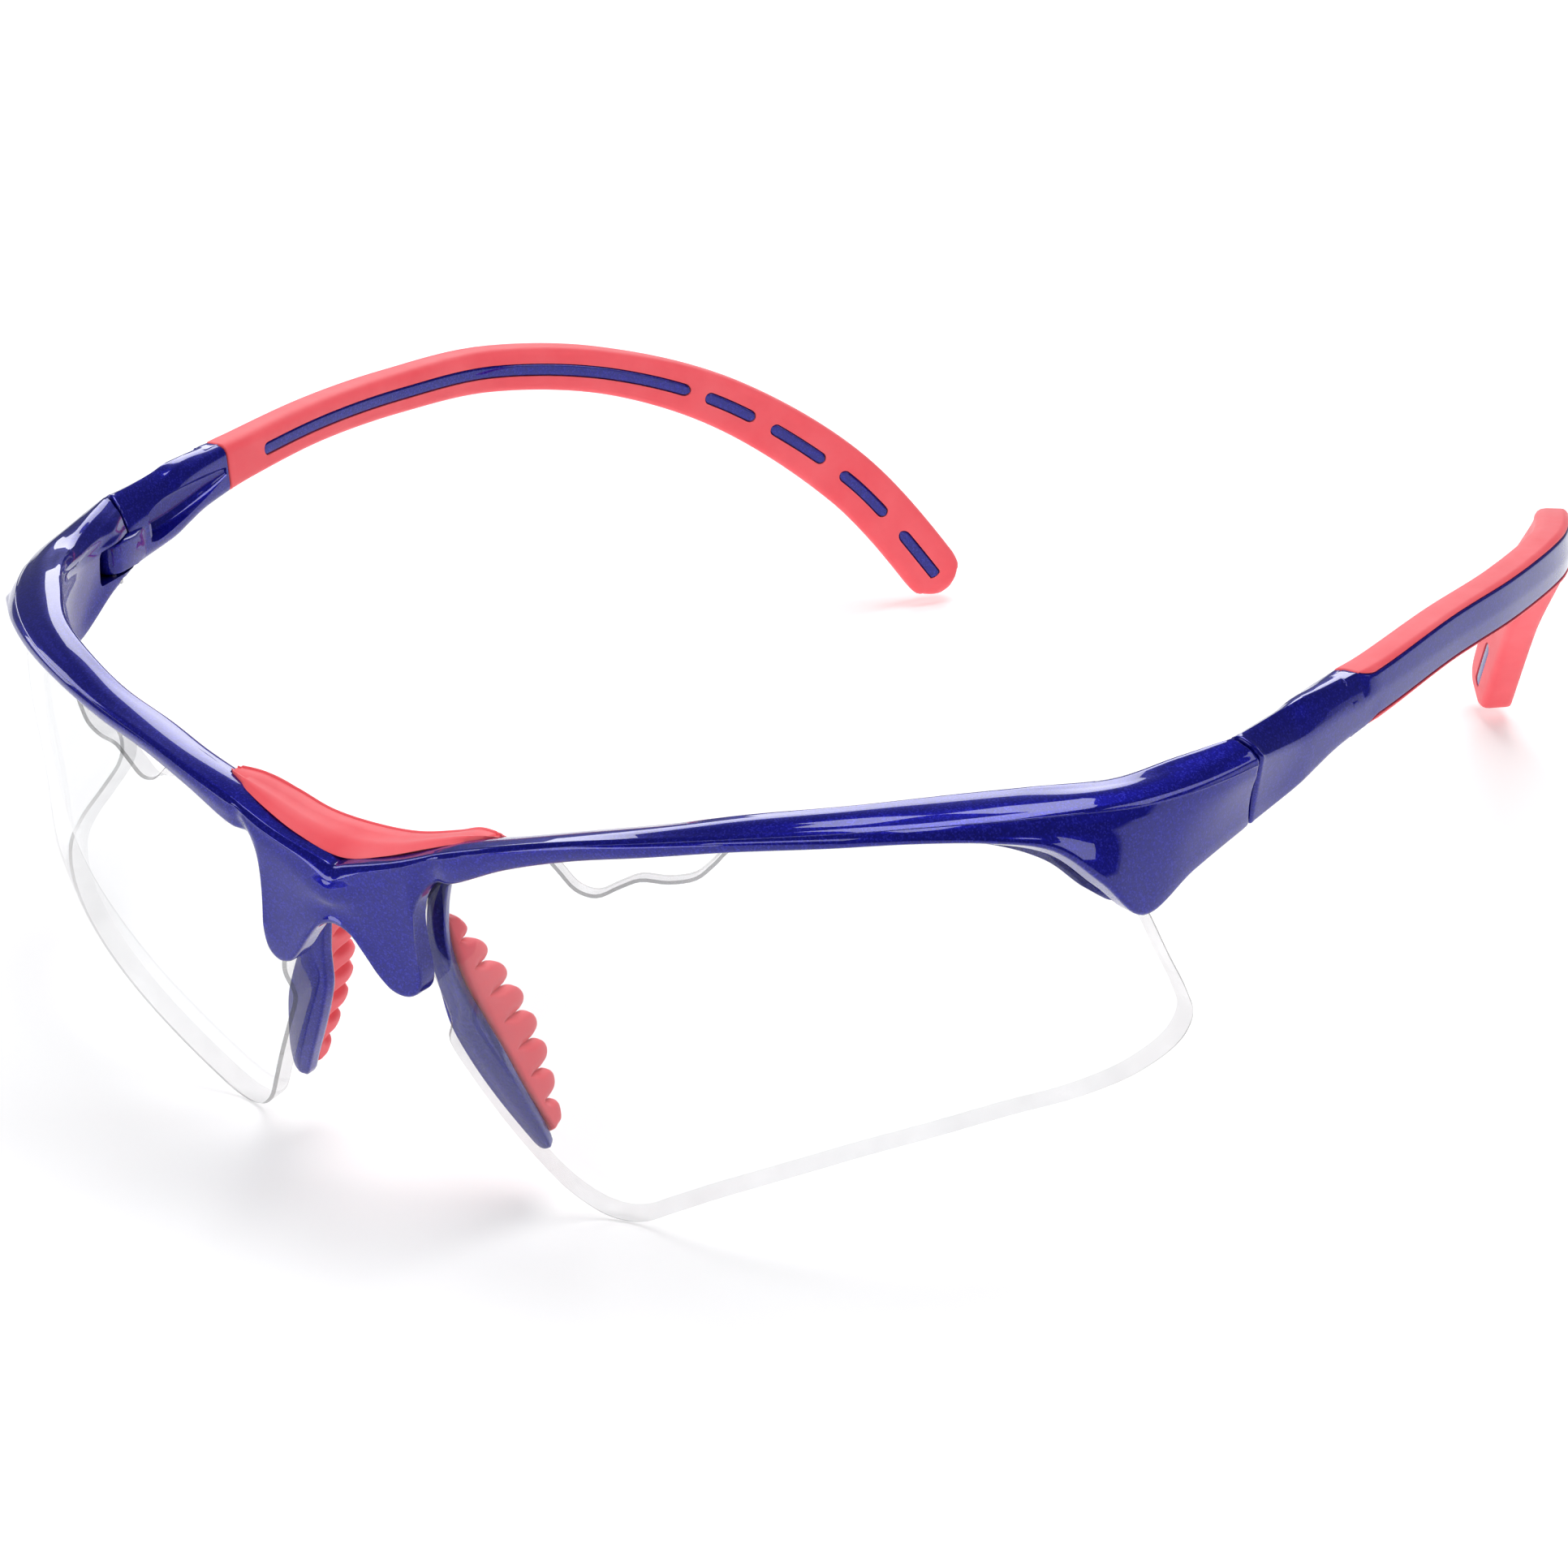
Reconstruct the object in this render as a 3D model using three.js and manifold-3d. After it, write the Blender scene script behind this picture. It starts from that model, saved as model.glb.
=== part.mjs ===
// Wrap-around racket-sport protective glasses: a browline half frame, two clear lenses, a soft
// brow pad, a finned nose pad on each side, and two folding temples with soft overmoulded grips.
// Millimetres. +X is the wearer's left, -Y the way the wearer looks, +Z up. The glasses stand
// open on a table: on the lenses' lower points and the temples' tips, all at z = 0. The shapes are
// set out from the lenses' lower points at y = 0, and the assembly moves them back by MIDDLE_Y, so
// that the origin is in the middle of the glasses' footprint.
import * as THREE from "three";
import { mergeVertices } from "three/addons/utils/BufferGeometryUtils.js";
import Module from "manifold-3d";

const wasm = await Module();
wasm.setup();

// Driving dimensions
const GAP = 0.3; // clearance between neighbouring pieces
const MIDDLE_Y = 67.94; // halfway between the bridge's front and the temples' rear ends
const LENS_CENTRE = new THREE.Vector3(-36.1, 64.4, 30.1); // of the ellipsoid the left lens lies on
const LENS_AXES = new THREE.Vector3(108.9, 60.4, 77.3); // its half axes at the lens's outer face
const LENS_YAW = -0.45; // the ellipsoid's turn about +Z, in radians
const LENS_THICKNESS = 2;
const GROOVE_PLAY = 0.35; // lens to groove, all round
const HINGE = { x: 63.6, y: 29.4 }; // vertical hinge axis, inside the end piece
const SLOT_REACH = 8; // from the hinge axis, rearward and inward, to well outside the end piece
const KNUCKLE = { radius: 1.5, bottom: 36.7, top: 40 }; // the temple's eye between the lugs
const LUG_RADIUS = 2;
const LUG_BOTTOM = 35.3;
const LUG_TOP = 42.2;
const SCREW = { shank: 0.45, head: 1, headBottom: 35.4, headHeight: 0.4, top: 41 };
const SCREW_SLOT = { width: 0.3, depth: 0.2 };
const HEAD_CLEARANCE = 0.2; // above the screw's head, in its counterbore
const INSERT = { outer: 0.95, bore: 0.65, bottom: 40.5, top: 41.2 };
const BORE_RADIUS = 0.6; // screw clearance through the lower lug and the knuckle
const TEMPLE_WIDTH = 3.8;
const CORE_WIDTH = 2.6; // core under the grip, flush with the grip's outer side
const STRIP_HEIGHT = 2.6; // strip of the core left showing along the outer side
const STRIP_RAISE = 0.1; // its middle above the temple's centreline
const GRIP_START = 0.152; // share of the temple's length where the grip begins
const GRIP_END = 0.945; // the core ends here, inside the grip's tip
const NOSE_PAD_THICKNESS = 2.4;
const NOSE_PAD_FINS = 8;
const BRACKET_THICKNESS = 1.3;
const BRACKET_WIDTH = 2;
const BRACKET_TIP_WIDTH = 1.6;
const BRACKET_LEAN = 0.35; // rise of its far edge for each millimetre of width
const TEMPLE_LENGTH = 133; // along the curve from the seam to the tip
const CORE_LAP = 0.04; // share of the temple's length by which the strip runs into the bare front
const CUT_PAST = 1; // how far a straight cut runs past the face it opens

// Colours and finishes
const materials = {
  frame: new THREE.MeshStandardMaterial({ color: 0x1c1c9c, roughness: 0.25, metalness: 0.55 }),
  grip: new THREE.MeshStandardMaterial({ color: 0xff5f64, roughness: 0.7, metalness: 0 }),
  lens: new THREE.MeshStandardMaterial({
    color: 0xeef2f4,
    roughness: 0.04,
    metalness: 0,
    transparent: true,
    opacity: 0.25,
  }),
  steel: new THREE.MeshStandardMaterial({ color: 0xb8bac0, roughness: 0.3, metalness: 1 }),
  brass: new THREE.MeshStandardMaterial({ color: 0xc9a14c, roughness: 0.35, metalness: 1 }),
};

// Closed meshes as solids, and back

function toSolid(geometry) {
  const bare = geometry.clone();
  bare.deleteAttribute("normal");
  bare.deleteAttribute("uv");
  const merged = mergeVertices(bare, 1e-4);
  const index = merged.index.array;
  const triangles = [];
  for (let i = 0; i < index.length; i += 3) {
    const [a, b, c] = [index[i], index[i + 1], index[i + 2]];
    if (a !== b && b !== c && c !== a) triangles.push(a, b, c);
  }
  const mesh = new wasm.Mesh({
    numProp: 3,
    vertProperties: merged.attributes.position.array,
    triVerts: new Uint32Array(triangles),
  });
  return new wasm.Manifold(mesh);
}

function toGeometry(solid) {
  const mesh = solid.getMesh();
  const geometry = new THREE.BufferGeometry();
  geometry.setAttribute("position", new THREE.BufferAttribute(mesh.vertProperties, 3));
  geometry.setIndex(new THREE.BufferAttribute(mesh.triVerts, 1));
  return geometry;
}

function union(geometries) {
  return toGeometry(geometries.map(toSolid).reduce((all, next) => all.add(next)));
}

function subtract(geometry, tools) {
  return toGeometry(tools.map(toSolid).reduce((left, tool) => left.subtract(tool), toSolid(geometry)));
}

function intersect(geometry, other) {
  return toGeometry(toSolid(geometry).intersect(toSolid(other)));
}

// The same shape on the other side of the symmetry plane x = 0
function mirrored(geometry) {
  const copy = geometry.clone();
  const position = copy.attributes.position;
  for (let i = 0; i < position.count; i++) position.setX(i, -position.getX(i));
  const index = copy.index.array;
  for (let i = 0; i < index.length; i += 3) {
    [index[i + 1], index[i + 2]] = [index[i + 2], index[i + 1]];
  }
  return copy;
}

// Lofts

function signedVolume(points, index) {
  let volume = 0;
  const cross = new THREE.Vector3();
  for (let i = 0; i < index.length; i += 3) {
    cross.crossVectors(points[index[i + 1]], points[index[i + 2]]);
    volume += points[index[i]].dot(cross) / 6;
  }
  return volume;
}

// Triangles that close one ring of points, which may be concave but is nearly flat
function capTriangles(ring) {
  const normal = new THREE.Vector3();
  ring.forEach((p, i) => normal.add(new THREE.Vector3().crossVectors(p, ring[(i + 1) % ring.length])));
  normal.normalize();
  const across = new THREE.Vector3().subVectors(ring[1], ring[0]);
  across.addScaledVector(normal, -across.dot(normal)).normalize();
  const along = new THREE.Vector3().crossVectors(normal, across);
  const flat = ring.map((p) => new THREE.Vector2(p.dot(across), p.dot(along)));
  return THREE.ShapeUtils.triangulateShape(flat, []).map(([a, b, c]) => {
    const ab = flat[b].clone().sub(flat[a]);
    const ac = flat[c].clone().sub(flat[a]);
    return ab.cross(ac) > 0 ? [a, b, c] : [a, c, b];
  });
}

// A closed body through rings that all have the same number of points
function loft(rings) {
  const size = rings[0].length;
  const points = rings.flat();
  const index = [];
  for (let r = 0; r + 1 < rings.length; r++) {
    for (let i = 0; i < size; i++) {
      const a = r * size + i;
      const b = r * size + ((i + 1) % size);
      index.push(a, a + size, b, b, a + size, b + size);
    }
  }
  const last = (rings.length - 1) * size;
  capTriangles(rings[0]).forEach(([a, b, c]) => index.push(a, b, c));
  capTriangles(rings.at(-1)).forEach(([a, b, c]) => index.push(last + a, last + c, last + b));
  if (signedVolume(points, index) < 0) {
    for (let i = 0; i < index.length; i += 3) [index[i + 1], index[i + 2]] = [index[i + 2], index[i + 1]];
  }
  const geometry = new THREE.BufferGeometry();
  geometry.setAttribute("position", new THREE.Float32BufferAttribute(points.flatMap((p) => p.toArray()), 3));
  geometry.setIndex(index);
  return geometry;
}

const UP = new THREE.Vector3(0, 0, 1);
const vector = ([x, y, z]) => new THREE.Vector3(x, y, z);

// A smooth curve through hand-set points, read by its own parameter so that curves made from
// the same number of points stay in step
function smooth(points) {
  const curve = new THREE.CatmullRomCurve3(points.map(vector), false, "centripetal");
  return (t) => curve.getPoint(t);
}

// One ring from its corners, each corner rounded by its own share of the sides next to it
function roundedRing(corners, shares) {
  return corners.flatMap((corner, i) => {
    const before = corners[(i + corners.length - 1) % corners.length];
    const after = corners[(i + 1) % corners.length];
    const start = corner.clone().lerp(before, shares[i]);
    const end = corner.clone().lerp(after, shares[i]);
    const middle = corner.clone().multiplyScalar(2).add(start).add(end).divideScalar(4);
    return [start, middle, end];
  });
}

// A loft through stations, each a list of corners
function stationLoft(stations, shares, steps) {
  const rails = stations[0].map((_, c) => smooth(stations.map((station) => station[c])));
  const rings = [];
  for (let i = 0; i <= steps; i++) {
    rings.push(roundedRing(rails.map((rail) => rail(i / steps)), shares));
  }
  return loft(rings);
}

function extrudeUp(shape, bottom, top) {
  const geometry = new THREE.ExtrudeGeometry(shape, {
    depth: top - bottom,
    bevelEnabled: false,
    curveSegments: 12,
  });
  return mergeVertices(bareOf(geometry.translate(0, 0, bottom)));
}

function bareOf(geometry) {
  geometry.deleteAttribute("normal");
  geometry.deleteAttribute("uv");
  return geometry;
}

// A round bar standing on end, with its axis on the hinge axis
function hingeCylinder(radius, bottom, top, sides = 24) {
  const bar = new THREE.CylinderGeometry(radius, radius, top - bottom, sides);
  bar.rotateX(Math.PI / 2);
  bar.translate(HINGE.x, HINGE.y, (bottom + top) / 2);
  return mergeVertices(bareOf(bar));
}

function block(low, high) {
  const size = high.map((value, i) => value - low[i]);
  const box = new THREE.BoxGeometry(...size);
  box.translate(...low.map((value, i) => value + size[i] / 2));
  return mergeVertices(bareOf(box));
}

// Points of the lens

// From a unit vector in the ellipsoid's own axes to the point at a depth below the outer face
function lensPoint(unit, depth) {
  const point = unit.clone().multiply(LENS_AXES.clone().subScalar(depth));
  return point.applyAxisAngle(UP, LENS_YAW).add(LENS_CENTRE);
}

// How far back the face at a depth lies where it is seen at (x, z) from the front
function lensY(x, z, depth) {
  const [a, b, c] = LENS_AXES.clone().subScalar(depth).toArray();
  const [cos, sin] = [Math.cos(LENS_YAW), Math.sin(LENS_YAW)];
  const dx = x - LENS_CENTRE.x;
  const square = (sin / a) ** 2 + (cos / b) ** 2;
  const linear = dx * cos * sin * (1 / a ** 2 - 1 / b ** 2);
  const rest = dx ** 2 * ((cos / a) ** 2 + (sin / b) ** 2) + ((z - LENS_CENTRE.z) / c) ** 2 - 1;
  const root = Math.sqrt(Math.max(0, linear ** 2 - square * rest)); // 0 where the face turns away
  return LENS_CENTRE.y - (linear + root) / square;
}

// The point at a depth straight in from where the outer face is seen at (x, z) from the front
function onLens([x, z], depth) {
  const point = new THREE.Vector3(x, lensY(x, z, 0), z).sub(LENS_CENTRE);
  return lensPoint(point.applyAxisAngle(UP, -LENS_YAW).divide(LENS_AXES), depth);
}

// The outline moved away from its middle by a distance, all round
function offsetOutline(outline, distance) {
  const area = THREE.ShapeUtils.area(outline.map(([x, z]) => new THREE.Vector2(x, z)));
  const side = Math.sign(area) * distance;
  return outline.map(([x, z], i) => {
    const [ax, az] = outline[(i + outline.length - 1) % outline.length];
    const [bx, bz] = outline[(i + 1) % outline.length];
    const length = Math.hypot(bx - ax, bz - az);
    return [x + ((bz - az) / length) * side, z - ((bx - ax) / length) * side];
  });
}

// The part of the ellipsoid that holds the lens, as angles in its own axes
const PATCH = { from: 0.55, to: 1.95, low: -0.46, high: 0.24, across: 18, up: 7 };
const CUT = 6; // how far the outline's cut runs past both faces

// A piece of the curved shell between two depths, inside an outline seen from the front
function shellPiece(outline, outer, inner) {
  const rings = [];
  for (let i = 0; i <= PATCH.across; i++) {
    const turn = THREE.MathUtils.lerp(PATCH.from, PATCH.to, i / PATCH.across);
    const ring = [];
    for (const depth of [outer, inner]) {
      for (let j = 0; j <= PATCH.up; j++) {
        const share = depth === outer ? j / PATCH.up : 1 - j / PATCH.up;
        const rise = THREE.MathUtils.lerp(PATCH.low, PATCH.high, share);
        const unit = new THREE.Vector3(
          Math.sin(turn) * Math.cos(rise),
          -Math.cos(turn) * Math.cos(rise),
          Math.sin(rise),
        );
        ring.push(lensPoint(unit, depth));
      }
    }
    rings.push(ring);
  }
  const near = outline.map((p) => onLens(p, inner + CUT));
  const far = outline.map((p) => onLens(p, outer - CUT));
  return intersect(loft(rings), loft([near, far]));
}

// Left lens, seen from the front as [x, z]

const LENS_CORNERS = [
  [9.8, 33.2],
  [13.5, 35.2],
  [18, 37.4],
  [20.8, 38.2],
  [22.5, 37],
  [24.2, 35.5],
  [26, 35.2],
  [28.1, 36.3],
  [30, 37.2],
  [32.6, 37.3],
  [34.8, 37.9],
  [36.2, 39.2],
  [37.6, 40.7],
  [42, 41.5],
  [48, 42],
  [53, 41.9],
  [57, 41],
  [60, 39.4],
  [62.2, 36.6],
  [63.4, 32.5],
  [64.2, 26.6],
  [64.3, 21.6],
  [64, 18.7],
  [63.4, 16.6],
  [62, 15.1],
  [59.4, 14.5],
  [55.3, 14.1],
  [47.6, 11.7],
  [41.1, 9],
  [33.2, 5.2],
  [27.6, 2.1],
  [24.8, 0.5],
  [22.6, 0],
  [20.4, 0.4],
  [17.8, 2.4],
  [15.4, 5.8],
  [12.8, 10.1],
  [10.6, 13.9],
  [9, 17],
  [9, 18],
  [9.6, 19.6],
  [9.2, 21.6],
  [8.3, 24.3],
  [7.6, 26.6],
  [7.8, 29.1],
  [8.6, 31.4],
];

function lens() {
  return shellPiece(LENS_CORNERS, 0, LENS_THICKNESS);
}

function lensGroove() {
  return shellPiece(offsetOutline(LENS_CORNERS, GROOVE_PLAY), -GROOVE_PLAY, LENS_THICKNESS + GROOVE_PLAY);
}

// Front frame

// Half of the brow bar from the middle to the hinge seam. Each station has four corners: the
// front lower edge, the front ridge, the rear top edge and the rear lower edge.
const BROW_STATIONS = [
  [[0, -10.8, 28.6], [0, -9.9, 33.6], [0, -4.9, 33.2], [0, -5.4, 29.4]],
  [[7, -10.2, 30.4], [6.6, -9.8, 35.4], [6.8, -5, 34.9], [7, -3.9, 31]],
  [[12.5, -9, 34.2], [12.5, -9.2, 37.4], [13.3, -5, 37.3], [12, -2.9, 33.6]],
  [[18, -8.4, 36.5], [18, -8.5, 38.9], [19, -4.2, 38.6], [17.2, -2.7, 35.6]],
  [[24, -7.2, 38.2], [23.7, -7.3, 40.1], [24.5, -2.9, 39.8], [22.6, -1.9, 36.9]],
  [[31, -5.8, 39.6], [31, -5.5, 41.3], [31, -1.9, 41.4], [29.3, -0.6, 38.1]],
  [[38.1, -3.5, 40.8], [38.3, -2.8, 42.2], [37.4, 0.4, 42.8], [35.8, 1.3, 39.1]],
  [[45.5, 0, 41.4], [45.8, 1.2, 42.8], [45, 4.8, 43.6], [42.6, 4.6, 39.6]],
  [[51.7, 3.9, 41.7], [52, 5.8, 43], [51.2, 10.6, 43.7], [48.2, 8.2, 39.4]],
  [[56.2, 7.6, 41.3], [56.6, 10.2, 42.9], [54.9, 15, 43.7], [52.2, 11.6, 38.3]],
  [[60.3, 11.3, 40.2], [60.6, 15, 42.6], [58, 19.4, 43.7], [55.4, 14.9, 35.7]],
  [[63.2, 14.4, 36.6], [63.6, 19.6, 42.2], [60.4, 23.6, 43.8], [57.6, 17.9, 32.8]],
  [[64.8, 18.2, 32.4], [65.6, 24.2, 42], [62, 27, 43.9], [59.6, 22, 33]],
  [[65.6, 25, 33.6], [67, 28.6, 42], [63.3, 29.6, 44], [61.4, 27.6, 35]],
  [[66.2, 33.6, 34.8], [68, 32.4, 42.1], [64.4, 31.7, 44.1], [63, 32.4, 36.4]],
];
const BROW_SHARES = [0.16, 0.12, 0.22, 0.2];
const BROW_STEPS = 56;

const flip = ([x, y, z]) => [-x, y, z];

function browBar() {
  const left = BROW_STATIONS;
  const right = BROW_STATIONS.slice(1).reverse().map((station) => station.map(flip));
  return stationLoft([...right, ...left], BROW_SHARES, BROW_STEPS);
}

// The plate between the lenses: half its outline as [x, z], from the arch over the nose
const BRIDGE_HALF = [
  [1.6, 27.6],
  [3.4, 25.8],
  [5, 23.9],
  [6.2, 22.9],
  [7.6, 22.7],
  [8.7, 23.3],
  [9, 24.8],
  [8.7, 27.6],
  [8.6, 30.4],
  [9.1, 32.6],
  [10.2, 34.2],
  [9.6, 35.8],
  [6.8, 35],
  [3.4, 33.9],
];
const BRIDGE_CURVE = { y: 43.5, z: 25, radius: 54.1 };
const BRIDGE_THICKNESS = 2.3;

function bridgePlate() {
  const other = BRIDGE_HALF.slice().reverse().map(([x, z]) => [-x, z]);
  const outline = [...BRIDGE_HALF, [0, 33.2], ...other, [0, 28.1]];
  const rows = [
    [0.7, 0],
    [0.15, 0.3],
    [0, 0.8],
    [0, BRIDGE_THICKNESS - 0.3],
    [0.3, BRIDGE_THICKNESS],
  ];
  const rings = rows.map(([inset, depth]) =>
    offsetOutline(outline, -inset).map(([x, z]) => {
      const drop = Math.sqrt(BRIDGE_CURVE.radius ** 2 - x * x - (z - BRIDGE_CURVE.z) ** 2);
      return new THREE.Vector3(x, BRIDGE_CURVE.y - drop + depth, z);
    }),
  );
  return loft(rings);
}

// Where the temple's knuckle turns: open to the rear and to the inner side
function hingeSlot() {
  const radius = KNUCKLE.radius + GAP;
  const shape = new THREE.Shape();
  shape.moveTo(HINGE.x, HINGE.y - radius);
  shape.absarc(HINGE.x, HINGE.y, radius, -Math.PI / 2, 0, false);
  shape.lineTo(HINGE.x + radius, HINGE.y + SLOT_REACH);
  shape.lineTo(HINGE.x - SLOT_REACH, HINGE.y + SLOT_REACH);
  shape.lineTo(HINGE.x - SLOT_REACH, HINGE.y - radius);
  return extrudeUp(shape, KNUCKLE.bottom - GAP, KNUCKLE.top + GAP);
}

function frontFrame() {
  const counterboreTop = SCREW.headBottom + SCREW.headHeight + HEAD_CLEARANCE;
  const lugs = hingeCylinder(LUG_RADIUS, LUG_BOTTOM, LUG_TOP);
  const whole = union([browBar(), bridgePlate(), lugs, mirrored(lugs)]);
  const oneSide = [
    hingeSlot(),
    hingeCylinder(BORE_RADIUS, LUG_BOTTOM - CUT_PAST, KNUCKLE.top),
    hingeCylinder(SCREW.head + GAP, LUG_BOTTOM - CUT_PAST, counterboreTop),
    hingeCylinder(INSERT.outer + GAP, KNUCKLE.top, INSERT.top + GAP),
    lensGroove(),
  ];
  return subtract(whole, [...oneSide, ...oneSide.map(mirrored)]);
}

// Brow pad: a soft saddle over the middle of the bar. Each station has six corners: the front
// edge, the crest, the rear top, the rear bottom, the lower edge against the bar's back and the
// fold over the bar's rear top edge.
const PAD_STATIONS = [
  [
    [0, -8.8, 34.05], [0, -4.9, 35.5], [0, -2.6, 34.6],
    [0, -2.2, 30.2], [0, -4.6, 30.2], [0, -4.5, 33.55],
  ],
  [
    [5, -8.8, 35.2], [5, -4.9, 35.85], [5, -2.6, 34.9],
    [5, -2, 30.8], [5, -4.2, 30.8], [5, -4.45, 34.2],
  ],
  [
    [9.2, -8.2, 36.6], [9.2, -4.7, 36.8], [9.2, -2.2, 35.8],
    [9, -1.4, 32.2], [8.9, -3, 32.2], [9.4, -4.3, 35.5],
  ],
  [
    [12.2, -7.2, 37.6], [12.3, -4.9, 38], [12.4, -2.2, 37.2],
    [12.1, -1, 34], [12.1, -2.2, 34], [12.4, -4.2, 37],
  ],
  [
    [14.4, -6.2, 38.3], [14.6, -5.1, 38.6], [14.6, -3, 38.1],
    [14.3, -1.6, 36], [14.3, -2, 36], [14.4, -3.7, 37.7],
  ],
];
const PAD_SHARES = [0.12, 0.3, 0.3, 0.3, 0.12, 0.12];

function browPad() {
  const right = PAD_STATIONS.slice(1).reverse().map((station) => station.map(flip));
  const pad = stationLoft([...right, ...PAD_STATIONS], PAD_SHARES, 22);
  return subtract(pad, [thickened(browBar())]);
}

// The bar with every corner pushed out by the gap, to cut its neighbours clear
function thickened(geometry) {
  const copy = geometry.clone();
  copy.computeVertexNormals();
  const position = copy.attributes.position;
  const normal = copy.attributes.normal;
  for (let i = 0; i < position.count; i++) {
    position.setXYZ(
      i,
      position.getX(i) + normal.getX(i) * GAP,
      position.getY(i) + normal.getY(i) * GAP,
      position.getZ(i) + normal.getZ(i) * GAP,
    );
  }
  return copy;
}

// Nose bracket: a rail behind the lens's nose edge, from the bar down. Its nose side as [x, z].
const BRACKET_LINE = [
  [8.4, 32.4],
  [7.7, 29],
  [7.8, 25],
  [8.6, 20.8],
  [9.7, 17.2],
  [11.2, 13.8],
  [12.6, 10.4],
  [13.9, 7.2],
  [14.5, 5.4],
];

function noseBracket() {
  const front = LENS_THICKNESS + GROOVE_PLAY;
  const back = front + BRACKET_THICKNESS;
  const rings = BRACKET_LINE.map(([x, z], i) => {
    const end = i === BRACKET_LINE.length - 1;
    const width = end ? BRACKET_TIP_WIDTH : BRACKET_WIDTH;
    const corners = [
      onLens([x, z], front),
      onLens([x + width, z + width * BRACKET_LEAN], front),
      onLens([x + width, z + width * BRACKET_LEAN], back),
      onLens([x, z], back),
    ];
    return roundedRing(corners, [0.12, 0.12, 0.2, 0.2]);
  });
  return subtract(loft(rings), [thickened(browBar())]);
}

// Nose pad: a soft plate along the bracket whose back edge is cut into fins
const PAD_TOP = new THREE.Vector3(5.3, 0, 27.4);
const PAD_BOTTOM = new THREE.Vector3(13, 0, 6.4);
const FIN_DEPTH = 2;
const FIN_ROUND = 0.6; // power of the sine that rounds the fins: the lower, the blunter

// How far back the fins' tips reach, at a share of the pad's length from the top
function finTip(share) {
  return -3.1 + 5.2 * Math.sin(Math.PI * (0.02 + 0.78 * share)) ** 0.95 + 0.6 * share ** 6;
}

function nosePad() {
  const run = new THREE.Vector3().subVectors(PAD_BOTTOM, PAD_TOP);
  const length = run.length();
  run.normalize();
  const out = new THREE.Vector3(-run.z, 0, run.x);
  const shape = new THREE.Shape();
  const frontAt = (s) => {
    const p = PAD_TOP.clone().addScaledVector(run, s * length);
    return lensY(p.x, p.z, LENS_THICKNESS + GROOVE_PLAY + BRACKET_THICKNESS + GAP);
  };
  shape.moveTo(0, frontAt(0));
  for (let i = 1; i <= 10; i++) shape.lineTo((length * i) / 10, frontAt(i / 10));
  const rows = NOSE_PAD_FINS * 6;
  for (let i = rows; i >= 0; i--) {
    const s = i / rows;
    const wave = Math.abs(Math.sin(Math.PI * NOSE_PAD_FINS * s)) ** FIN_ROUND;
    const depth = FIN_DEPTH * Math.min(1, 0.1 + 4 * s, 0.1 + 4 * (1 - s)); // shallow at both ends
    shape.lineTo(length * s, finTip(s) - depth * (1 - wave));
  }
  const plate = new THREE.ExtrudeGeometry(shape, { depth: NOSE_PAD_THICKNESS, bevelEnabled: false });
  const place = new THREE.Matrix4().makeBasis(run, new THREE.Vector3(0, 1, 0), out);
  place.setPosition(PAD_TOP);
  return mergeVertices(bareOf(plate.applyMatrix4(place)));
}

// Temple

// Centreline with the height there, from the hinge seam to the tip
const TEMPLE_LINE = [
  [66.3, 39.6, 40.4],
  [67, 46, 41.1],
  [67.6, 53.5, 41.4],
  [67.9, 66, 41.8],
  [67.8, 79.5, 41.2],
  [65.9, 94, 40],
  [60.2, 108, 36.7],
  [53.2, 123, 29.2],
  [44.6, 135.4, 17.4],
  [38.4, 143, 4.7],
  [37.1, 144.6, 1.1],
];
const TEMPLE_HEIGHT = [7.4, 5.7, 4.9, 4.6, 4.7, 5, 5.2, 6.2, 7, 7, 4.4];
const RIDGE_AT = [0.22, 0.15, 0, -0.2, -0.2, -0.2, -0.2, -0.2, -0.2, -0.2, -0.2];

const templeCurve = smooth(TEMPLE_LINE);
const heightCurve = smooth(TEMPLE_HEIGHT.map((h) => [h, 0, 0]));
const ridgeCurve = smooth(RIDGE_AT.map((r) => [r, 0, 0]));

// The temple's own directions at t: along, up across the section, and out from the head
function templeFrame(t) {
  const step = 1e-3;
  const along = templeCurve(Math.min(1, t + step)).sub(templeCurve(Math.max(0, t - step))).normalize();
  const up = new THREE.Vector3(0, 0, 1).addScaledVector(along, -along.z).normalize();
  const out = new THREE.Vector3().crossVectors(along, up);
  return { centre: templeCurve(t), up, out, height: heightCurve(t).x, ridge: ridgeCurve(t).x };
}

// A section point from its place out and up, as shares of half the width and half the height
function templePoint(frame, out, up) {
  const point = frame.centre.clone();
  return point.addScaledVector(frame.out, out).addScaledVector(frame.up, up);
}

function templeRings(section, from, to, steps) {
  const rings = [];
  for (let i = 0; i <= steps; i++) {
    const frame = templeFrame(from + ((to - from) * i) / steps);
    rings.push(section(frame).map(([out, up]) => templePoint(frame, out, up)));
  }
  return rings;
}

// The whole section, as the bare front of the core and the grip's outside share it
function fullSection({ height, ridge }) {
  const w = TEMPLE_WIDTH / 2;
  const h = height / 2;
  const r = ridge * h;
  return [
    [w - 0.3, -h + 0.5],
    [w - 0.1, r - 1.1],
    [w, r],
    [w - 0.25, r + 1.1],
    [w - 0.9, h - 0.25],
    [w - 1.5, h],
    [-w + 1, h],
    [-w + 0.3, h - 0.4],
    [-w, h - 1.3],
    [-w, -h + 1.3],
    [-w + 0.3, -h + 0.4],
    [-w + 1, -h],
    [w - 1.2, -h],
  ];
}

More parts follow.
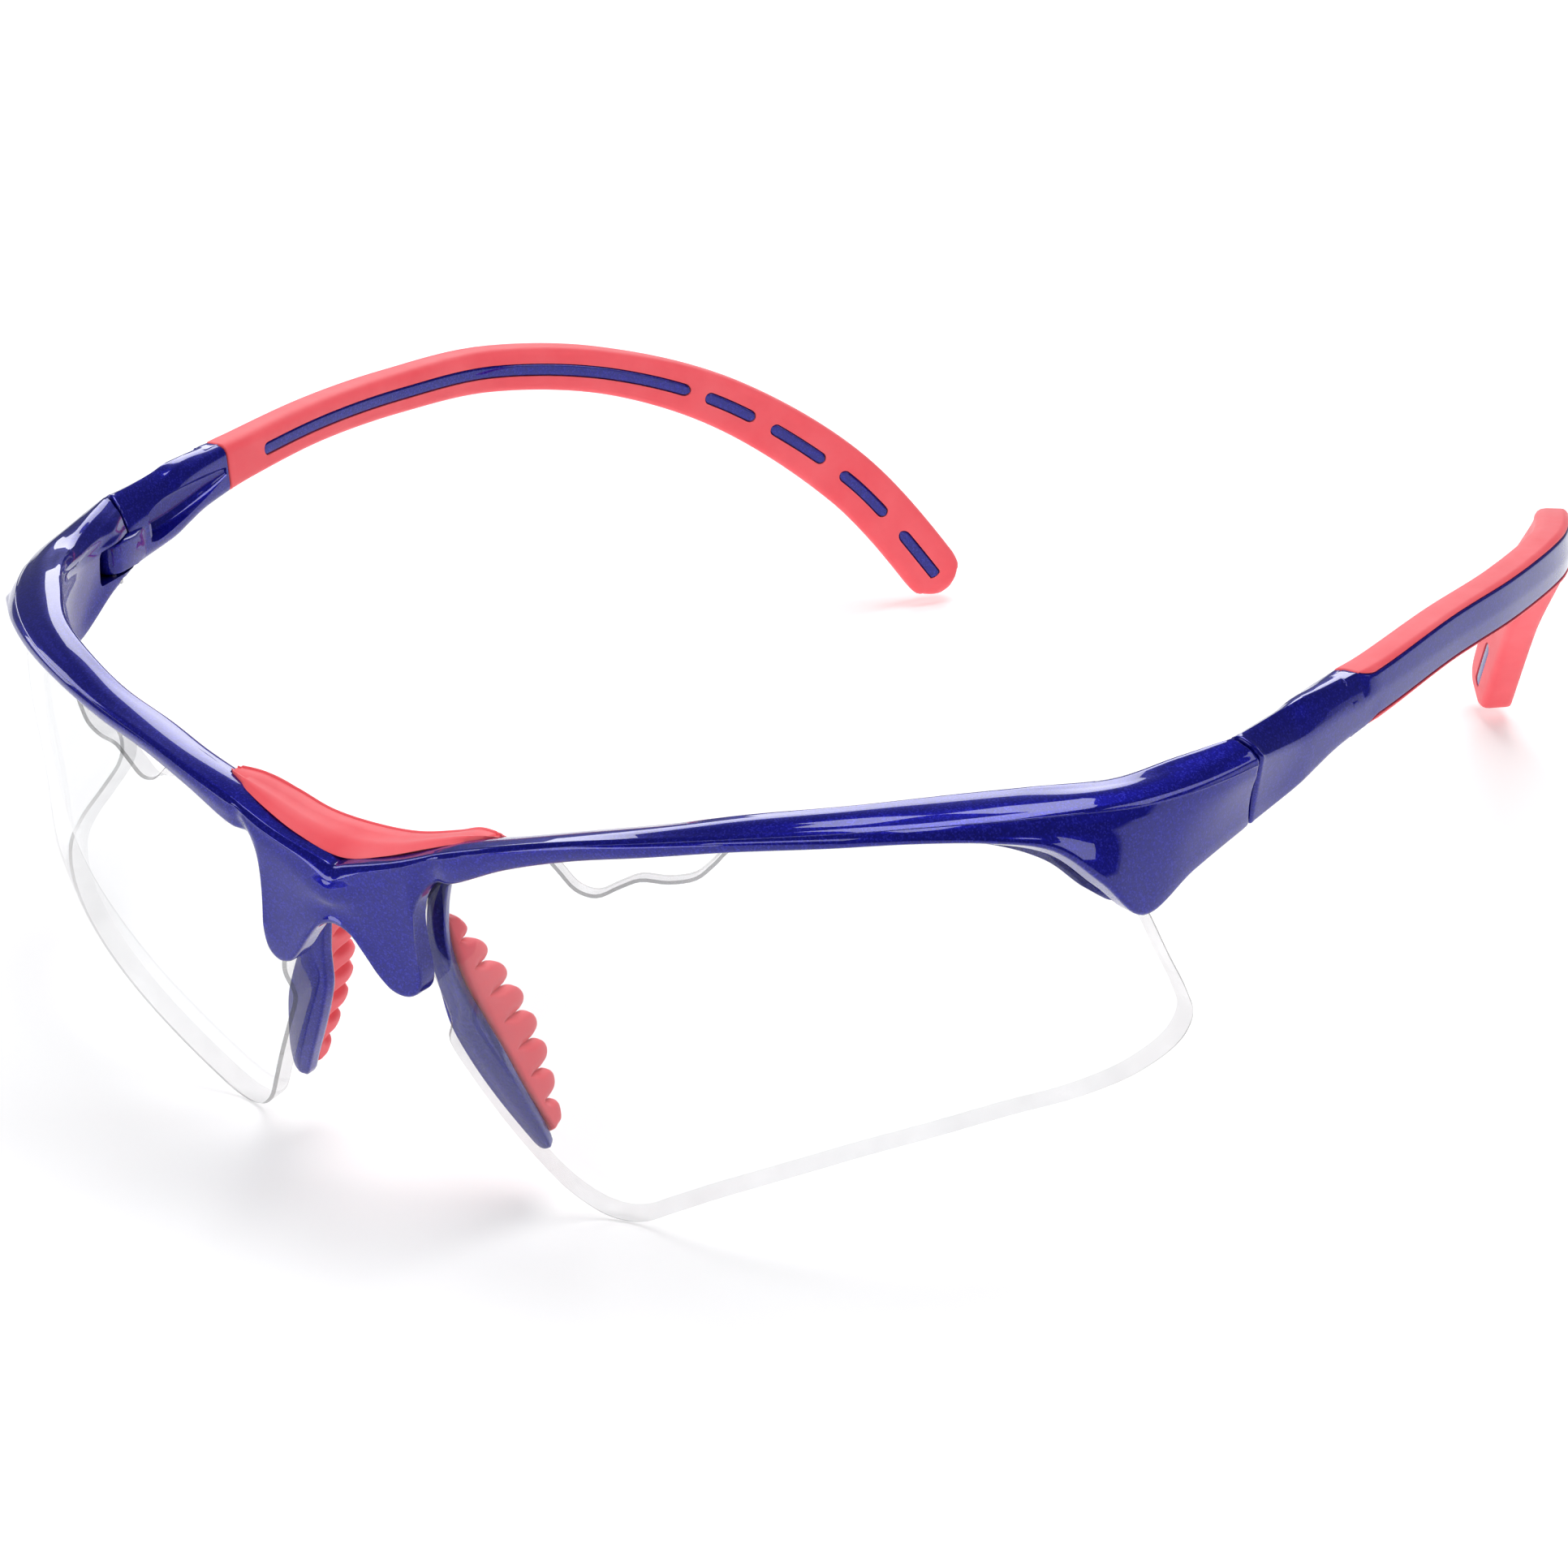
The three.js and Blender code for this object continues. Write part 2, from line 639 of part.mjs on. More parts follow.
// The core under the grip, a bar that reaches the outer side as the strip
function coreSection() {
  const w = TEMPLE_WIDTH / 2;
  const inner = w - CORE_WIDTH;
  const low = STRIP_RAISE - STRIP_HEIGHT / 2;
  return [
    [w - 0.15, low],
    [w - 0.1, low + STRIP_HEIGHT / 2],
    [w - 0.35, low + STRIP_HEIGHT],
    [inner, low + STRIP_HEIGHT],
    [inner, low],
  ];
}

function grownCore() {
  const w = TEMPLE_WIDTH / 2;
  const inner = w - CORE_WIDTH - GAP;
  const low = STRIP_RAISE - STRIP_HEIGHT / 2 - GAP;
  const high = low + STRIP_HEIGHT + 2 * GAP;
  return [
    [w + 1, low],
    [w + 1, high],
    [inner, high],
    [inner, low],
  ];
}

// The seam end of the temple, matched to the end piece's seam
const SEAM_STATION = [[66.2, 33.9, 34.8], [68, 32.7, 42.1], [64.4, 32, 44.1], [63, 32.7, 36.4]];

// Windows in the grip's inner side, as shares of the temple's length
const WINDOWS = [
  [0.22, 0.664],
  [0.676, 0.717],
  [0.73, 0.774],
  [0.788, 0.836],
  [0.853, 0.92],
];
const WINDOW_HEIGHT = 1.2;
const RIB_ROOT = 0.4; // how deep a rib's foot lies in the core
const RIB_END_GAP = GAP / TEMPLE_LENGTH + 0.002; // end clearance of a rib in its window

function windowRings(from, to, inset, depthOut) {
  const half = WINDOW_HEIGHT / 2 - inset;
  const w = TEMPLE_WIDTH / 2;
  const section = () => [
    [w - CORE_WIDTH + RIB_ROOT, STRIP_RAISE - half],
    [w - CORE_WIDTH + RIB_ROOT, STRIP_RAISE + half],
    [-w - depthOut, STRIP_RAISE + half],
    [-w - depthOut, STRIP_RAISE - half],
  ];
  return loft(templeRings(section, from, to, Math.max(2, Math.round((to - from) * 36))));
}

function templeFront() {
  const start = roundedSeam(SEAM_STATION);
  const rings = [start, ...templeRings(fullSection, 0, GRIP_START, 8)];
  return loft(rings);
}

// The seam ring with as many points as the temple's section, placed to run on from it
function roundedSeam([low, ridge, top, inner]) {
  const a = vector(low);
  const b = vector(ridge);
  const c = vector(top);
  const d = vector(inner);
  const mix = (p, q, share) => p.clone().lerp(q, share);
  return [
    mix(a, b, 0.06),
    mix(a, b, 0.7),
    mix(a, b, 0.96),
    mix(b, c, 0.1),
    mix(b, c, 0.55),
    mix(b, c, 0.75),
    mix(b, c, 0.93),
    mix(c, d, 0.06),
    mix(c, d, 0.2),
    mix(c, d, 0.8),
    mix(c, d, 0.95),
    mix(d, a, 0.15),
    mix(d, a, 0.8),
  ];
}

function templeCore() {
  const front = templeFront();
  const bar = loft(templeRings(coreSection, GRIP_START - CORE_LAP, GRIP_END, 32));
  const ribs = WINDOWS.map(([from, to]) => windowRings(from + RIB_END_GAP, to - RIB_END_GAP, GAP, -0.25));
  const knuckle = hingeCylinder(KNUCKLE.radius, KNUCKLE.bottom, KNUCKLE.top);
  const neck = block([HINGE.x - 0.9, HINGE.y, KNUCKLE.bottom], [HINGE.x + 1.4, HINGE.y + 6.5, KNUCKLE.top]);
  const core = union([front, bar, ...ribs, knuckle, neck]);
  const bore = hingeCylinder(BORE_RADIUS, KNUCKLE.bottom - CUT_PAST, KNUCKLE.top + CUT_PAST);
  return subtract(core, [bore, pocket()]);
}

// The hollow in the temple's inner side behind the hinge
const POCKET = { from: 36.2, to: 46.2, middle: 39.6, half: 2.3, opening: 60, floor: 65.6 };

function pocket() {
  const rings = [];
  const steps = 8;
  for (let i = 0; i <= steps; i++) {
    const share = i / steps;
    const y = POCKET.from + (POCKET.to - POCKET.from) * share;
    const half = POCKET.half * Math.sin(Math.PI * (0.1 + 0.8 * share)) ** 0.5 * (1 - 0.25 * share);
    const middle = POCKET.middle + share;
    rings.push([
      new THREE.Vector3(POCKET.opening, y, middle - half),
      new THREE.Vector3(POCKET.opening, y, middle + half),
      new THREE.Vector3(POCKET.floor, y, middle + half * 0.7),
      new THREE.Vector3(POCKET.floor, y, middle - half * 0.7),
    ]);
  }
  return loft(rings);
}

function templeGrip() {
  const start = GRIP_START + GAP / TEMPLE_LENGTH;
  const outside = loft(templeRings(fullSection, start, 1, 36));
  const hollow = loft(templeRings(grownCore, start - CORE_LAP / 2, GRIP_END + GAP / TEMPLE_LENGTH, 32));
  const openings = WINDOWS.map(([from, to]) => windowRings(from, to, 0, 1));
  return subtract(outside, [hollow, ...openings]);
}

// Hinge hardware

function hingeScrew() {
  const headTop = SCREW.headBottom + SCREW.headHeight;
  const head = hingeCylinder(SCREW.head, SCREW.headBottom, headTop, 20);
  const shank = hingeCylinder(SCREW.shank, headTop - 0.2, SCREW.top, 16);
  const slot = block(
    [HINGE.x - 2 * SCREW.head, HINGE.y - SCREW_SLOT.width / 2, SCREW.headBottom - CUT_PAST],
    [HINGE.x + 2 * SCREW.head, HINGE.y + SCREW_SLOT.width / 2, SCREW.headBottom + SCREW_SLOT.depth],
  );
  return subtract(union([head, shank]), [slot]);
}

function hingeInsert() {
  const sleeve = hingeCylinder(INSERT.outer, INSERT.bottom, INSERT.top, 20);
  const bore = hingeCylinder(INSERT.bore, INSERT.bottom - CUT_PAST, INSERT.top + CUT_PAST, 20);
  return subtract(sleeve, [bore]);
}

// Assembly

function named(name, geometry, material) {
  const mesh = new THREE.Mesh(geometry, material);
  mesh.name = name;
  mesh.position.y = -MIDDLE_Y;
  return mesh;
}

function pair(name, geometry, material) {
  return [named(`${name}_left`, geometry, material), named(`${name}_right`, mirrored(geometry), material)];
}

const glasses = new THREE.Group();
glasses.add(named("front_frame", frontFrame(), materials.frame));
glasses.add(named("brow_pad", browPad(), materials.grip));
glasses.add(...pair("lens", lens(), materials.lens));
glasses.add(...pair("nose_bracket", noseBracket(), materials.frame));
glasses.add(...pair("nose_pad", nosePad(), materials.grip));
glasses.add(...pair("hinge_screw", hingeScrew(), materials.steel));
glasses.add(...pair("hinge_insert", hingeInsert(), materials.brass));
glasses.add(...pair("temple_core", templeCore(), materials.frame));
glasses.add(...pair("temple_grip", templeGrip(), materials.grip));

export default glasses;
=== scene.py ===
"""Racket-sport protective glasses: the fine surfaces and finishes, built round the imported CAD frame.

Shapes are set out in millimetres from the lenses' lower points (y = 0) and moved to the frame's
origin as they become meshes. The left side is modelled, and the right side is its mirror image.
"""
import math

import bmesh
import bpy
from mathutils import Matrix, Vector


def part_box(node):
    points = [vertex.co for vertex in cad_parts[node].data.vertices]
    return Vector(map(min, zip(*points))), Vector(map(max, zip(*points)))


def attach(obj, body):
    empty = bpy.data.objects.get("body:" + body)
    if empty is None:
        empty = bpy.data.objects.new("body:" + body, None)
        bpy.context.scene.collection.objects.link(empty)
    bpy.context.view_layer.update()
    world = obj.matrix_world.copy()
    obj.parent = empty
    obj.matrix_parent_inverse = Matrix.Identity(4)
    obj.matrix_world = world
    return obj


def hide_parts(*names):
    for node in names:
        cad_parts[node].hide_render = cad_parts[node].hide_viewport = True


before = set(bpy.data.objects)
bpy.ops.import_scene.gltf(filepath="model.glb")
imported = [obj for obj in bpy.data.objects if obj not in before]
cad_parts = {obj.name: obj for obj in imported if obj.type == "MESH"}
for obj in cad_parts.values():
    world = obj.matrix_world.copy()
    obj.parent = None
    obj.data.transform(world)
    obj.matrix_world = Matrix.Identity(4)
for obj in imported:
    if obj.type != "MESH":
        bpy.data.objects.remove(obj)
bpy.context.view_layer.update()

MM = 0.001
FLOOR_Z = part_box("temple_grip_left")[0].z
MIDDLE_Y = 67.94  # from the lenses' lower points back to the origin
UP = Vector((0, 0, 1))

# Where the lists come from: the lens's ellipsoid, most of LENS_CORNERS and nearly all of WINDOWS are
# rounded output of scratch programs, which worked from points traced in the photograph. TEMPLE_LINE is
# such a fit with points changed one by one, and BAR started from curves found the same way.
LENS_CENTRE = Vector((-36.1, 64.4, 30.1))  # of the ellipsoid the left lens lies on
LENS_AXES = Vector((108.9, 60.4, 77.3))  # its half axes at the lens's outer face
LENS_YAW = -0.45  # its turn about the upright axis, in radians
LENS_THICKNESS = 2.0
GROOVE_PLAY = 0.3  # lens to groove, all round
HINGE = Vector((63.6, 29.4, 0))  # the upright hinge axis, inside the end piece
KNUCKLE = {"radius": 1.5, "bottom": 36.7, "top": 40.0}  # the temple's eye
KNUCKLE_PLAY = 0.3  # all round the eye, in the end piece's cavity
SCREW_BORE = {"head": 1.3, "bottom": 30, "head_top": 36.05, "shank": 0.6, "top": 37}
BORE_SIDES = 32
TEMPLE_WIDTH = 3.8
CORE_WIDTH = 2.6  # how far in from the outer side the core's bar reaches
STRIP_HEIGHT = 4.0  # of that bar, where it lies in the grip
GRIP_START = 0.152  # places along the temple's line, from 0 to 1
GRIP_END = 0.945


# Curves and rings ------------------------------------------------------------------------------

def lerp(a, b, share):
    return a + (b - a) * share


def smoothstep(u):
    u = min(1.0, max(0.0, u))
    return u * u * (3 - 2 * u)


def smooth(points):
    """A centripetal Catmull-Rom curve through the points, read by t from 0 to 1."""
    knots = [Vector(p) for p in points]
    knots = [2 * knots[0] - knots[1], *knots, 2 * knots[-1] - knots[-2]]
    spans = len(knots) - 3

    def at(t):
        place_on = min(max(t, 0.0), 1.0) * spans
        i = min(int(place_on), spans - 1)
        u = place_on - i
        p0, p1, p2, p3 = knots[i:i + 4]
        d0, d1, d2 = [max((b - a).length, 1e-6) ** 0.5 for a, b in ((p0, p1), (p1, p2), (p2, p3))]
        m1 = ((p1 - p0) / d0 - (p2 - p0) / (d0 + d1) + (p2 - p1) / d1) * d1
        m2 = ((p2 - p1) / d1 - (p3 - p1) / (d1 + d2) + (p3 - p2) / d2) * d1
        a = 2 * p1 - 2 * p2 + m1 + m2
        b = -3 * p1 + 3 * p2 - 2 * m1 - m2
        return a * u ** 3 + b * u ** 2 + m1 * u + p1

    return at


def smooth_loop(points, each):
    """A closed smooth outline through the points, with so many steps between neighbours."""
    count = len(points)
    wrapped = [points[i % count] for i in range(-2, count + 3)]
    at = smooth(wrapped)
    spans = len(wrapped) - 1
    return [at((2 + i / each) / spans) for i in range(count * each)]


def rounded_ring(corners, radii, bulges=None, arc=4, side=3):
    """One ring from its corners: each corner is rounded by its radius, each side bowed by its bulge."""
    count = len(corners)
    normal = Vector()
    for i, c in enumerate(corners):
        normal += c.cross(corners[(i + 1) % count])
    normal.normalize()
    arcs = []
    for i, c in enumerate(corners):
        to_last = corners[i - 1] - c
        to_next = corners[(i + 1) % count] - c
        reach = min(radii[i], 0.45 * to_last.length, 0.45 * to_next.length)
        start = c + to_last.normalized() * reach
        end = c + to_next.normalized() * reach
        steps = [k / arc for k in range(arc + 1)]
        arcs.append([start * (1 - u) ** 2 + c * 2 * u * (1 - u) + end * u * u for u in steps])
    ring = []
    for i in range(count):
        start, end = arcs[i][-1], arcs[(i + 1) % count][0]
        outward = (end - start).cross(normal).normalized()
        ring += arcs[i]
        for k in range(1, side + 1):
            u = k / (side + 1)
            lift = (bulges[i] if bulges else 0) * 4 * u * (1 - u)
            ring.append(lerp(start, end, u) + outward * lift)
    return ring


def shrunk(ring, by, shift):
    """The ring drawn in towards its middle and moved, for a rounded end."""
    middle = sum(ring, Vector()) / len(ring)
    size = sum((p - middle).length for p in ring) / len(ring)
    return [lerp(p, middle, by / size) + shift for p in ring]


def round_ends(rings, radius, last=True):
    """Rounds the edges of a loft's first and, if asked, last face, without making it longer."""
    def rounded_end(end):
        outer = end[0]
        middle = sum(outer, Vector()) / len(outer)
        away = (middle - sum(end[1], Vector()) / len(outer)).normalized()
        while (middle - sum(end[1], Vector()) / len(outer)).dot(away) < radius:
            end = [end[0], *end[2:]]
        steps = [math.radians(a) for a in (90, 68, 45, 22, 0)]
        turned = []
        for a in steps:
            turned.append(shrunk(outer, radius * (1 - math.cos(a)), away * radius * (math.sin(a) - 1)))
        return turned + end[1:]

    rings = rounded_end(rings)
    if last:
        rings = rounded_end(rings[::-1])[::-1]
    return rings


# Meshes ----------------------------------------------------------------------------------------

def place(p):
    return Vector((p.x, p.y - MIDDLE_Y, p.z)) * MM


def finished(bm, name, sharp):
    bmesh.ops.remove_doubles(bm, verts=bm.verts, dist=1e-7)
    bmesh.ops.recalc_face_normals(bm, faces=bm.faces)
    mesh = bpy.data.meshes.new(name)
    bm.to_mesh(mesh)
    bm.free()
    shade(mesh, sharp)
    obj = bpy.data.objects.new(name, mesh)
    bpy.context.scene.collection.objects.link(obj)
    return obj


def shade(mesh, sharp):
    mesh.polygons.foreach_set("use_smooth", [True] * len(mesh.polygons))
    mesh.set_sharp_from_angle(angle=math.radians(sharp))


def loft(name, rings, sharp=40):
    """A closed mesh through rings of equal length, in millimetres."""
    bm = bmesh.new()
    rows = [[bm.verts.new(place(p)) for p in ring] for ring in rings]
    size = len(rows[0])
    for low, high in zip(rows, rows[1:]):
        for i in range(size):
            j = (i + 1) % size
            bm.faces.new((low[i], low[j], high[j], high[i]))
    bm.faces.new(rows[0][::-1])
    bm.faces.new(rows[-1])
    return finished(bm, name, sharp)


def boolean(obj, tools, operation, sharp):
    """Cuts or joins with the tools, which are used up."""
    for tool in tools:
        modifier = obj.modifiers.new("boolean", "BOOLEAN")
        modifier.operation = operation
        modifier.solver = "EXACT"
        modifier.object = tool
    bpy.context.view_layer.update()
    evaluated = obj.evaluated_get(bpy.context.evaluated_depsgraph_get())
    mesh = bpy.data.meshes.new_from_object(evaluated)
    obj.modifiers.clear()
    obj.data = mesh
    shade(mesh, sharp)
    for tool in tools:
        bpy.data.objects.remove(tool)
    return obj


def mirror_image(obj, name):
    mesh = obj.data.copy()
    mesh.transform(Matrix.Scale(-1, 4, Vector((1, 0, 0))))
    mesh.flip_normals()
    twin = bpy.data.objects.new(name, mesh)
    bpy.context.scene.collection.objects.link(twin)
    return twin


def moved(obj, shift):
    """Moves each vertex by shift(point in millimetres), for soft hollows and swells."""
    for v in obj.data.vertices:
        point = v.co / MM
        point.y += MIDDLE_Y
        v.co = place(point + shift(point))
    obj.data.update()
    return obj


# Lens ------------------------------------------------------------------------------------------

# The lens's outline seen from the front, as (x, z)
LENS_CORNERS = [
    (9.8, 33.2), (13.5, 35.2), (18, 37.4), (20.8, 38.2), (22.5, 37), (24.2, 35.5), (26, 35.2),
    (28.1, 36.3), (30, 37.2), (32.6, 37.3), (34.8, 37.9), (36.2, 39.2), (37.6, 40.7), (42, 41.5),
    (48, 42), (53, 41.9), (57, 41), (60, 39.4), (62.2, 36.6), (63.4, 32.5), (64.2, 26.6),
    (64.3, 21.6), (64, 18.7), (63.4, 16.6), (62, 15.1), (59.4, 14.5), (55.3, 14.1), (47.6, 11.7),
    (41.1, 9), (33.2, 5.2), (27.6, 2.1), (24.8, 0.5), (22.6, 0), (20.4, 0.4), (17.8, 2.4),
    (15.4, 5.8), (12.8, 10.1), (10.6, 13.9), (9, 17), (9, 18), (9.6, 19.6), (9.2, 21.6),
    (8.3, 24.3), (7.6, 26.6), (7.8, 29.1), (8.6, 31.4),
]
# The stretch of the ellipsoid that is meshed before the outline cuts it, in radians, and its steps
LENS_PATCH = {"from": 0.55, "to": 1.95, "low": -0.46, "high": 0.24, "across": 84, "up": 44}
LENS_CHAMFER = 0.25
FACE_TOLERANCE = 0.02  # a point this near a face's depth lies on that face


def lens_point(unit, depth):
    axes = LENS_AXES - Vector((depth, depth, depth))
    local = Vector((unit.x * axes.x, unit.y * axes.y, unit.z * axes.z))
    return Matrix.Rotation(LENS_YAW, 3, "Z") @ local + LENS_CENTRE


def lens_y(x, z, depth=0.0):
    """How far back the face at a depth lies where it is seen at (x, z) from the front."""
    a, b, c = LENS_AXES - Vector((depth, depth, depth))
    cos, sin = math.cos(LENS_YAW), math.sin(LENS_YAW)
    dx = x - LENS_CENTRE.x
    square = (sin / a) ** 2 + (cos / b) ** 2
    linear = dx * cos * sin * (1 / a ** 2 - 1 / b ** 2)
    rest = dx ** 2 * ((cos / a) ** 2 + (sin / b) ** 2) + ((z - LENS_CENTRE.z) / c) ** 2 - 1
    root = math.sqrt(max(0.0, linear ** 2 - square * rest))
    return LENS_CENTRE.y - (linear + root) / square


def lens_unit(point):
    """The direction, on a unit sphere, of a point on or near the ellipsoid."""
    local = Matrix.Rotation(-LENS_YAW, 3, "Z") @ (point - LENS_CENTRE)
    return Vector((local.x / LENS_AXES.x, local.y / LENS_AXES.y, local.z / LENS_AXES.z)).normalized()


def on_lens(x, z, depth):
    """The point at a depth straight in from where the outer face is seen at (x, z)."""
    return lens_point(lens_unit(Vector((x, lens_y(x, z), z))), depth)


def lens_depth(co):
    """How deep a mesh point lies below the outer face, in millimetres."""
    point = co / MM + Vector((0, MIDDLE_Y, 0)) - LENS_CENTRE
    local = Matrix.Rotation(-LENS_YAW, 3, "Z") @ point
    depth = 0.0
    for _ in range(4):
        axes = LENS_AXES - Vector((depth, depth, depth))
        unit = Vector((local.x / axes.x, local.y / axes.y, local.z / axes.z))
        slope = sum(unit[i] ** 2 / axes[i] for i in range(3)) / unit.length
        depth += (1 - unit.length) / slope
    return depth


def lens_outline(grow):
    """The outline as unit directions, moved outwards along the face by a distance."""
    loop = smooth_loop([(x, lens_y(x, z), z) for x, z in LENS_CORNERS], 4)
    units = []
    for i, p in enumerate(loop):
        along = (loop[(i + 1) % len(loop)] - loop[i - 1]).normalized()
        inwards = (lens_point(lens_unit(p), 1) - lens_point(lens_unit(p), 0)).normalized()
        units.append(lens_unit(p + along.cross(inwards) * grow))
    return units


def shell_piece(name, outer, inner, grow, chamfer):
    """A piece of the ellipsoid's shell between two depths, inside the lens's outline."""
    patch = LENS_PATCH
    rings = []
    for i in range(patch["across"] + 1):
        turn = lerp(patch["from"], patch["to"], i / patch["across"])
        ring = []
        for depth, forward in ((outer, True), (inner, False)):
            for j in range(patch["up"] + 1):
                share = j / patch["up"] if forward else 1 - j / patch["up"]
                rise = lerp(patch["low"], patch["high"], share)
                level = math.cos(rise)
                unit = Vector((math.sin(turn) * level, -math.cos(turn) * level, math.sin(rise)))
                ring.append(lens_point(unit, depth))
        rings.append(ring)
    shell = loft(name, rings)
    far = 6.0  # how far the cutting walls stand out past both faces
    sections = [(outer - far, 2 * chamfer), (outer - chamfer, 2 * chamfer), (outer + chamfer, 0),
                (inner - chamfer, 0), (inner + chamfer, 2 * chamfer), (inner + far, 2 * chamfer)]
    walls = []
    for depth, inset in sections:
        walls.append([lens_point(unit, depth) for unit in lens_outline(grow - inset)])
    return boolean(shell, [loft(name + "_cut", walls)], "INTERSECT", 30)


def lens():
    """The lens: its faces, its front bevel and its edge take the first, second and third material."""
    piece = shell_piece("lens_left", 0.0, LENS_THICKNESS, 0.0, LENS_CHAMFER)
    for polygon in piece.data.polygons:
        depths = [lens_depth(piece.data.vertices[v].co) for v in polygon.vertices]
        if max(depths) < FACE_TOLERANCE or min(depths) > LENS_THICKNESS - FACE_TOLERANCE:
            polygon.material_index = 0
        elif min(depths) < FACE_TOLERANCE:
            polygon.material_index = 1
        else:
            polygon.material_index = 2
    return piece


# Front frame -----------------------------------------------------------------------------------

# Half the bar from the first plain section to the hinge seam. Each station has five corners: the
# front lower edge, the front ridge, the crown, the rim of the rear face and the rear lower edge.
BAR = [
    [(12.5, -9, 34.2), (12.5, -9.2, 37.4), (13.3, -5, 37.3), (12.9, -4.4, 36.2), (12, -2.9, 33.6)],
    [(18, -8.4, 36.5), (18, -8.5, 38.9), (19, -4.2, 38.6), (18.5, -3.8, 37.7), (17.2, -2.7, 35.6)],
    [(24, -7.2, 38.2), (23.7, -7.3, 40.1), (24.5, -2.9, 39.8), (23.9, -2.6, 38.9), (22.6, -1.9, 36.9)],
    [(31, -5.8, 39.6), (31, -5.5, 41.3), (31, -1.9, 41.4), (30.5, -1.5, 40.4), (29.3, -0.6, 38.1)],
    [(38.1, -3.5, 40.8), (38.3, -2.8, 42.2), (37.4, 0.4, 42.8), (36.9, 0.7, 41.7), (35.8, 1.3, 39.1)],
    [(45.5, 0, 41.4), (45.8, 1.2, 42.8), (45, 4.8, 43.6), (44.3, 4.8, 42.4), (42.6, 4.6, 39.6)],
    [(51.7, 3.9, 41.7), (52, 5.8, 43), (51.2, 10.6, 43.7), (50.5, 10.2, 42.6), (48.2, 8.2, 39.4)],
    [(56.2, 7.6, 41.3), (56.6, 10.2, 42.9), (55.1, 14.8, 43.7), (54.6, 14, 42), (53.2, 11.4, 39.2)],
    [(60.3, 11.3, 40.2), (60.6, 15, 42.6), (58.4, 19, 43.8), (57.4, 17.9, 41.2), (57, 15, 37)],
    [(63.2, 14.4, 36.6), (63.6, 19.6, 42.2), (61.1, 23.2, 43.9), (59.6, 21.8, 40.8), (59.2, 17.7, 33.9)],
    [(64.8, 18.2, 32.4), (65.6, 24.2, 42), (62.9, 26.8, 44), (61, 25.6, 40.5), (60.9, 20.8, 31.8)],
    [(65.6, 25, 33.8), (67, 28.6, 42), (64.3, 29.4, 44.1), (61.8, 29, 40.5), (62, 27.6, 34.9)],
    [(66.2, 33.6, 34.8), (68, 32.4, 42.1), (65.5, 31.9, 44.2), (63.2, 31.8, 40.7), (63, 32.4, 36.6)],
]
# The lower edge of the plate between the lenses, from the arch over the nose to the bar, as (x, z)
BRIDGE_LOW = [
    (0, 28.1), (1.8, 27.5), (3.4, 25.8), (4.8, 24), (6, 22.9), (7.4, 22.6), (8.5, 23.2), (9, 24.8),
    (8.8, 27.6), (8.7, 30.2), (9.2, 32.2), (10.6, 33.8),
]
# The bar's own ridge, rear top and rear lower edges behind that plate
BRIDGE_RIDGE = [(0, -9.9, 33.6), (6.6, -9.8, 35.4), (12.5, -9.2, 37.4), (18, -8.5, 38.9)]
BRIDGE_TOP = [(0, -4.9, 33.2), (6.8, -5, 34.9), (13.3, -5, 37.3), (19, -4.2, 38.6)]
BRIDGE_REAR = [(0, -5.4, 29.4), (7, -3.9, 31), (12, -2.9, 33.6), (17.2, -2.7, 35.6)]
BRIDGE_FACE = {"y": 43.5, "z": 25, "radius": 54.1}
BRIDGE_THICKNESS = 2.3
BAND = 0.42  # share of the front face above its mid crease
BAND_LIFT = 0.38
BRIDGE_FOLD = 0.35  # how much more it stands out over the nose
BAND_FADE = (50, 60)  # the crease dies out between these places across
BAR_STEPS = 9  # rings between stations


def bridge_front(x, z):
    face = BRIDGE_FACE
    return Vector((x, face["y"] - math.sqrt(face["radius"] ** 2 - x * x - (z - face["z"]) ** 2), z))


def bar_stations():
    """Half the frame as stations of eight corners: front low, mid crease, ridge, crown, rear rim,
    rear low, the corner behind the plate, and the plate's rear edge."""
    edges = [smooth(points) for points in (BRIDGE_RIDGE, BRIDGE_TOP, BRIDGE_REAR)]
    knots = len(BRIDGE_RIDGE) - 1
    stations = []
    for k, (x, z) in enumerate(BRIDGE_LOW):
        ridge, crown, rear = [edge(k / len(BRIDGE_LOW) * 2 / knots) for edge in edges]
        low = bridge_front(x, z)
        plate = low + Vector((0, BRIDGE_THICKNESS, 0))
        corner = Vector((lerp(rear.x, plate.x, 0.3), lerp(rear.y, plate.y, 0.85), rear.z - 0.3))
        stations.append((low, ridge, crown, lerp(crown, rear, 0.3), rear, corner, plate))
    for station in BAR:
        low, ridge, crown, rim, rear = [Vector(p) for p in station]
        stations.append((low, ridge, crown, rim, rear, lerp(low, rear, 0.66), lerp(low, rear, 0.33)))
    full = []
    for low, ridge, crown, rim, rear, corner, plate in stations:
        down = low - ridge
        outward = (low + ridge - crown - rear).normalized()
        fade = min(1.0, max(0.0, (BAND_FADE[1] - low.x) / (BAND_FADE[1] - BAND_FADE[0])))
        middle = smoothstep(1 - low.x / 9)
        drop = min(lerp(1.3, 2.2, middle), BAND * down.length)
        lift = BAND_LIFT * fade + BRIDGE_FOLD * middle
        crease = ridge + down.normalized() * drop + outward * lift
        full.append([low, crease, ridge, crown, rim, rear, corner, plate])
    return full


def flipped(p):
    return Vector((-p.x, p.y, p.z))


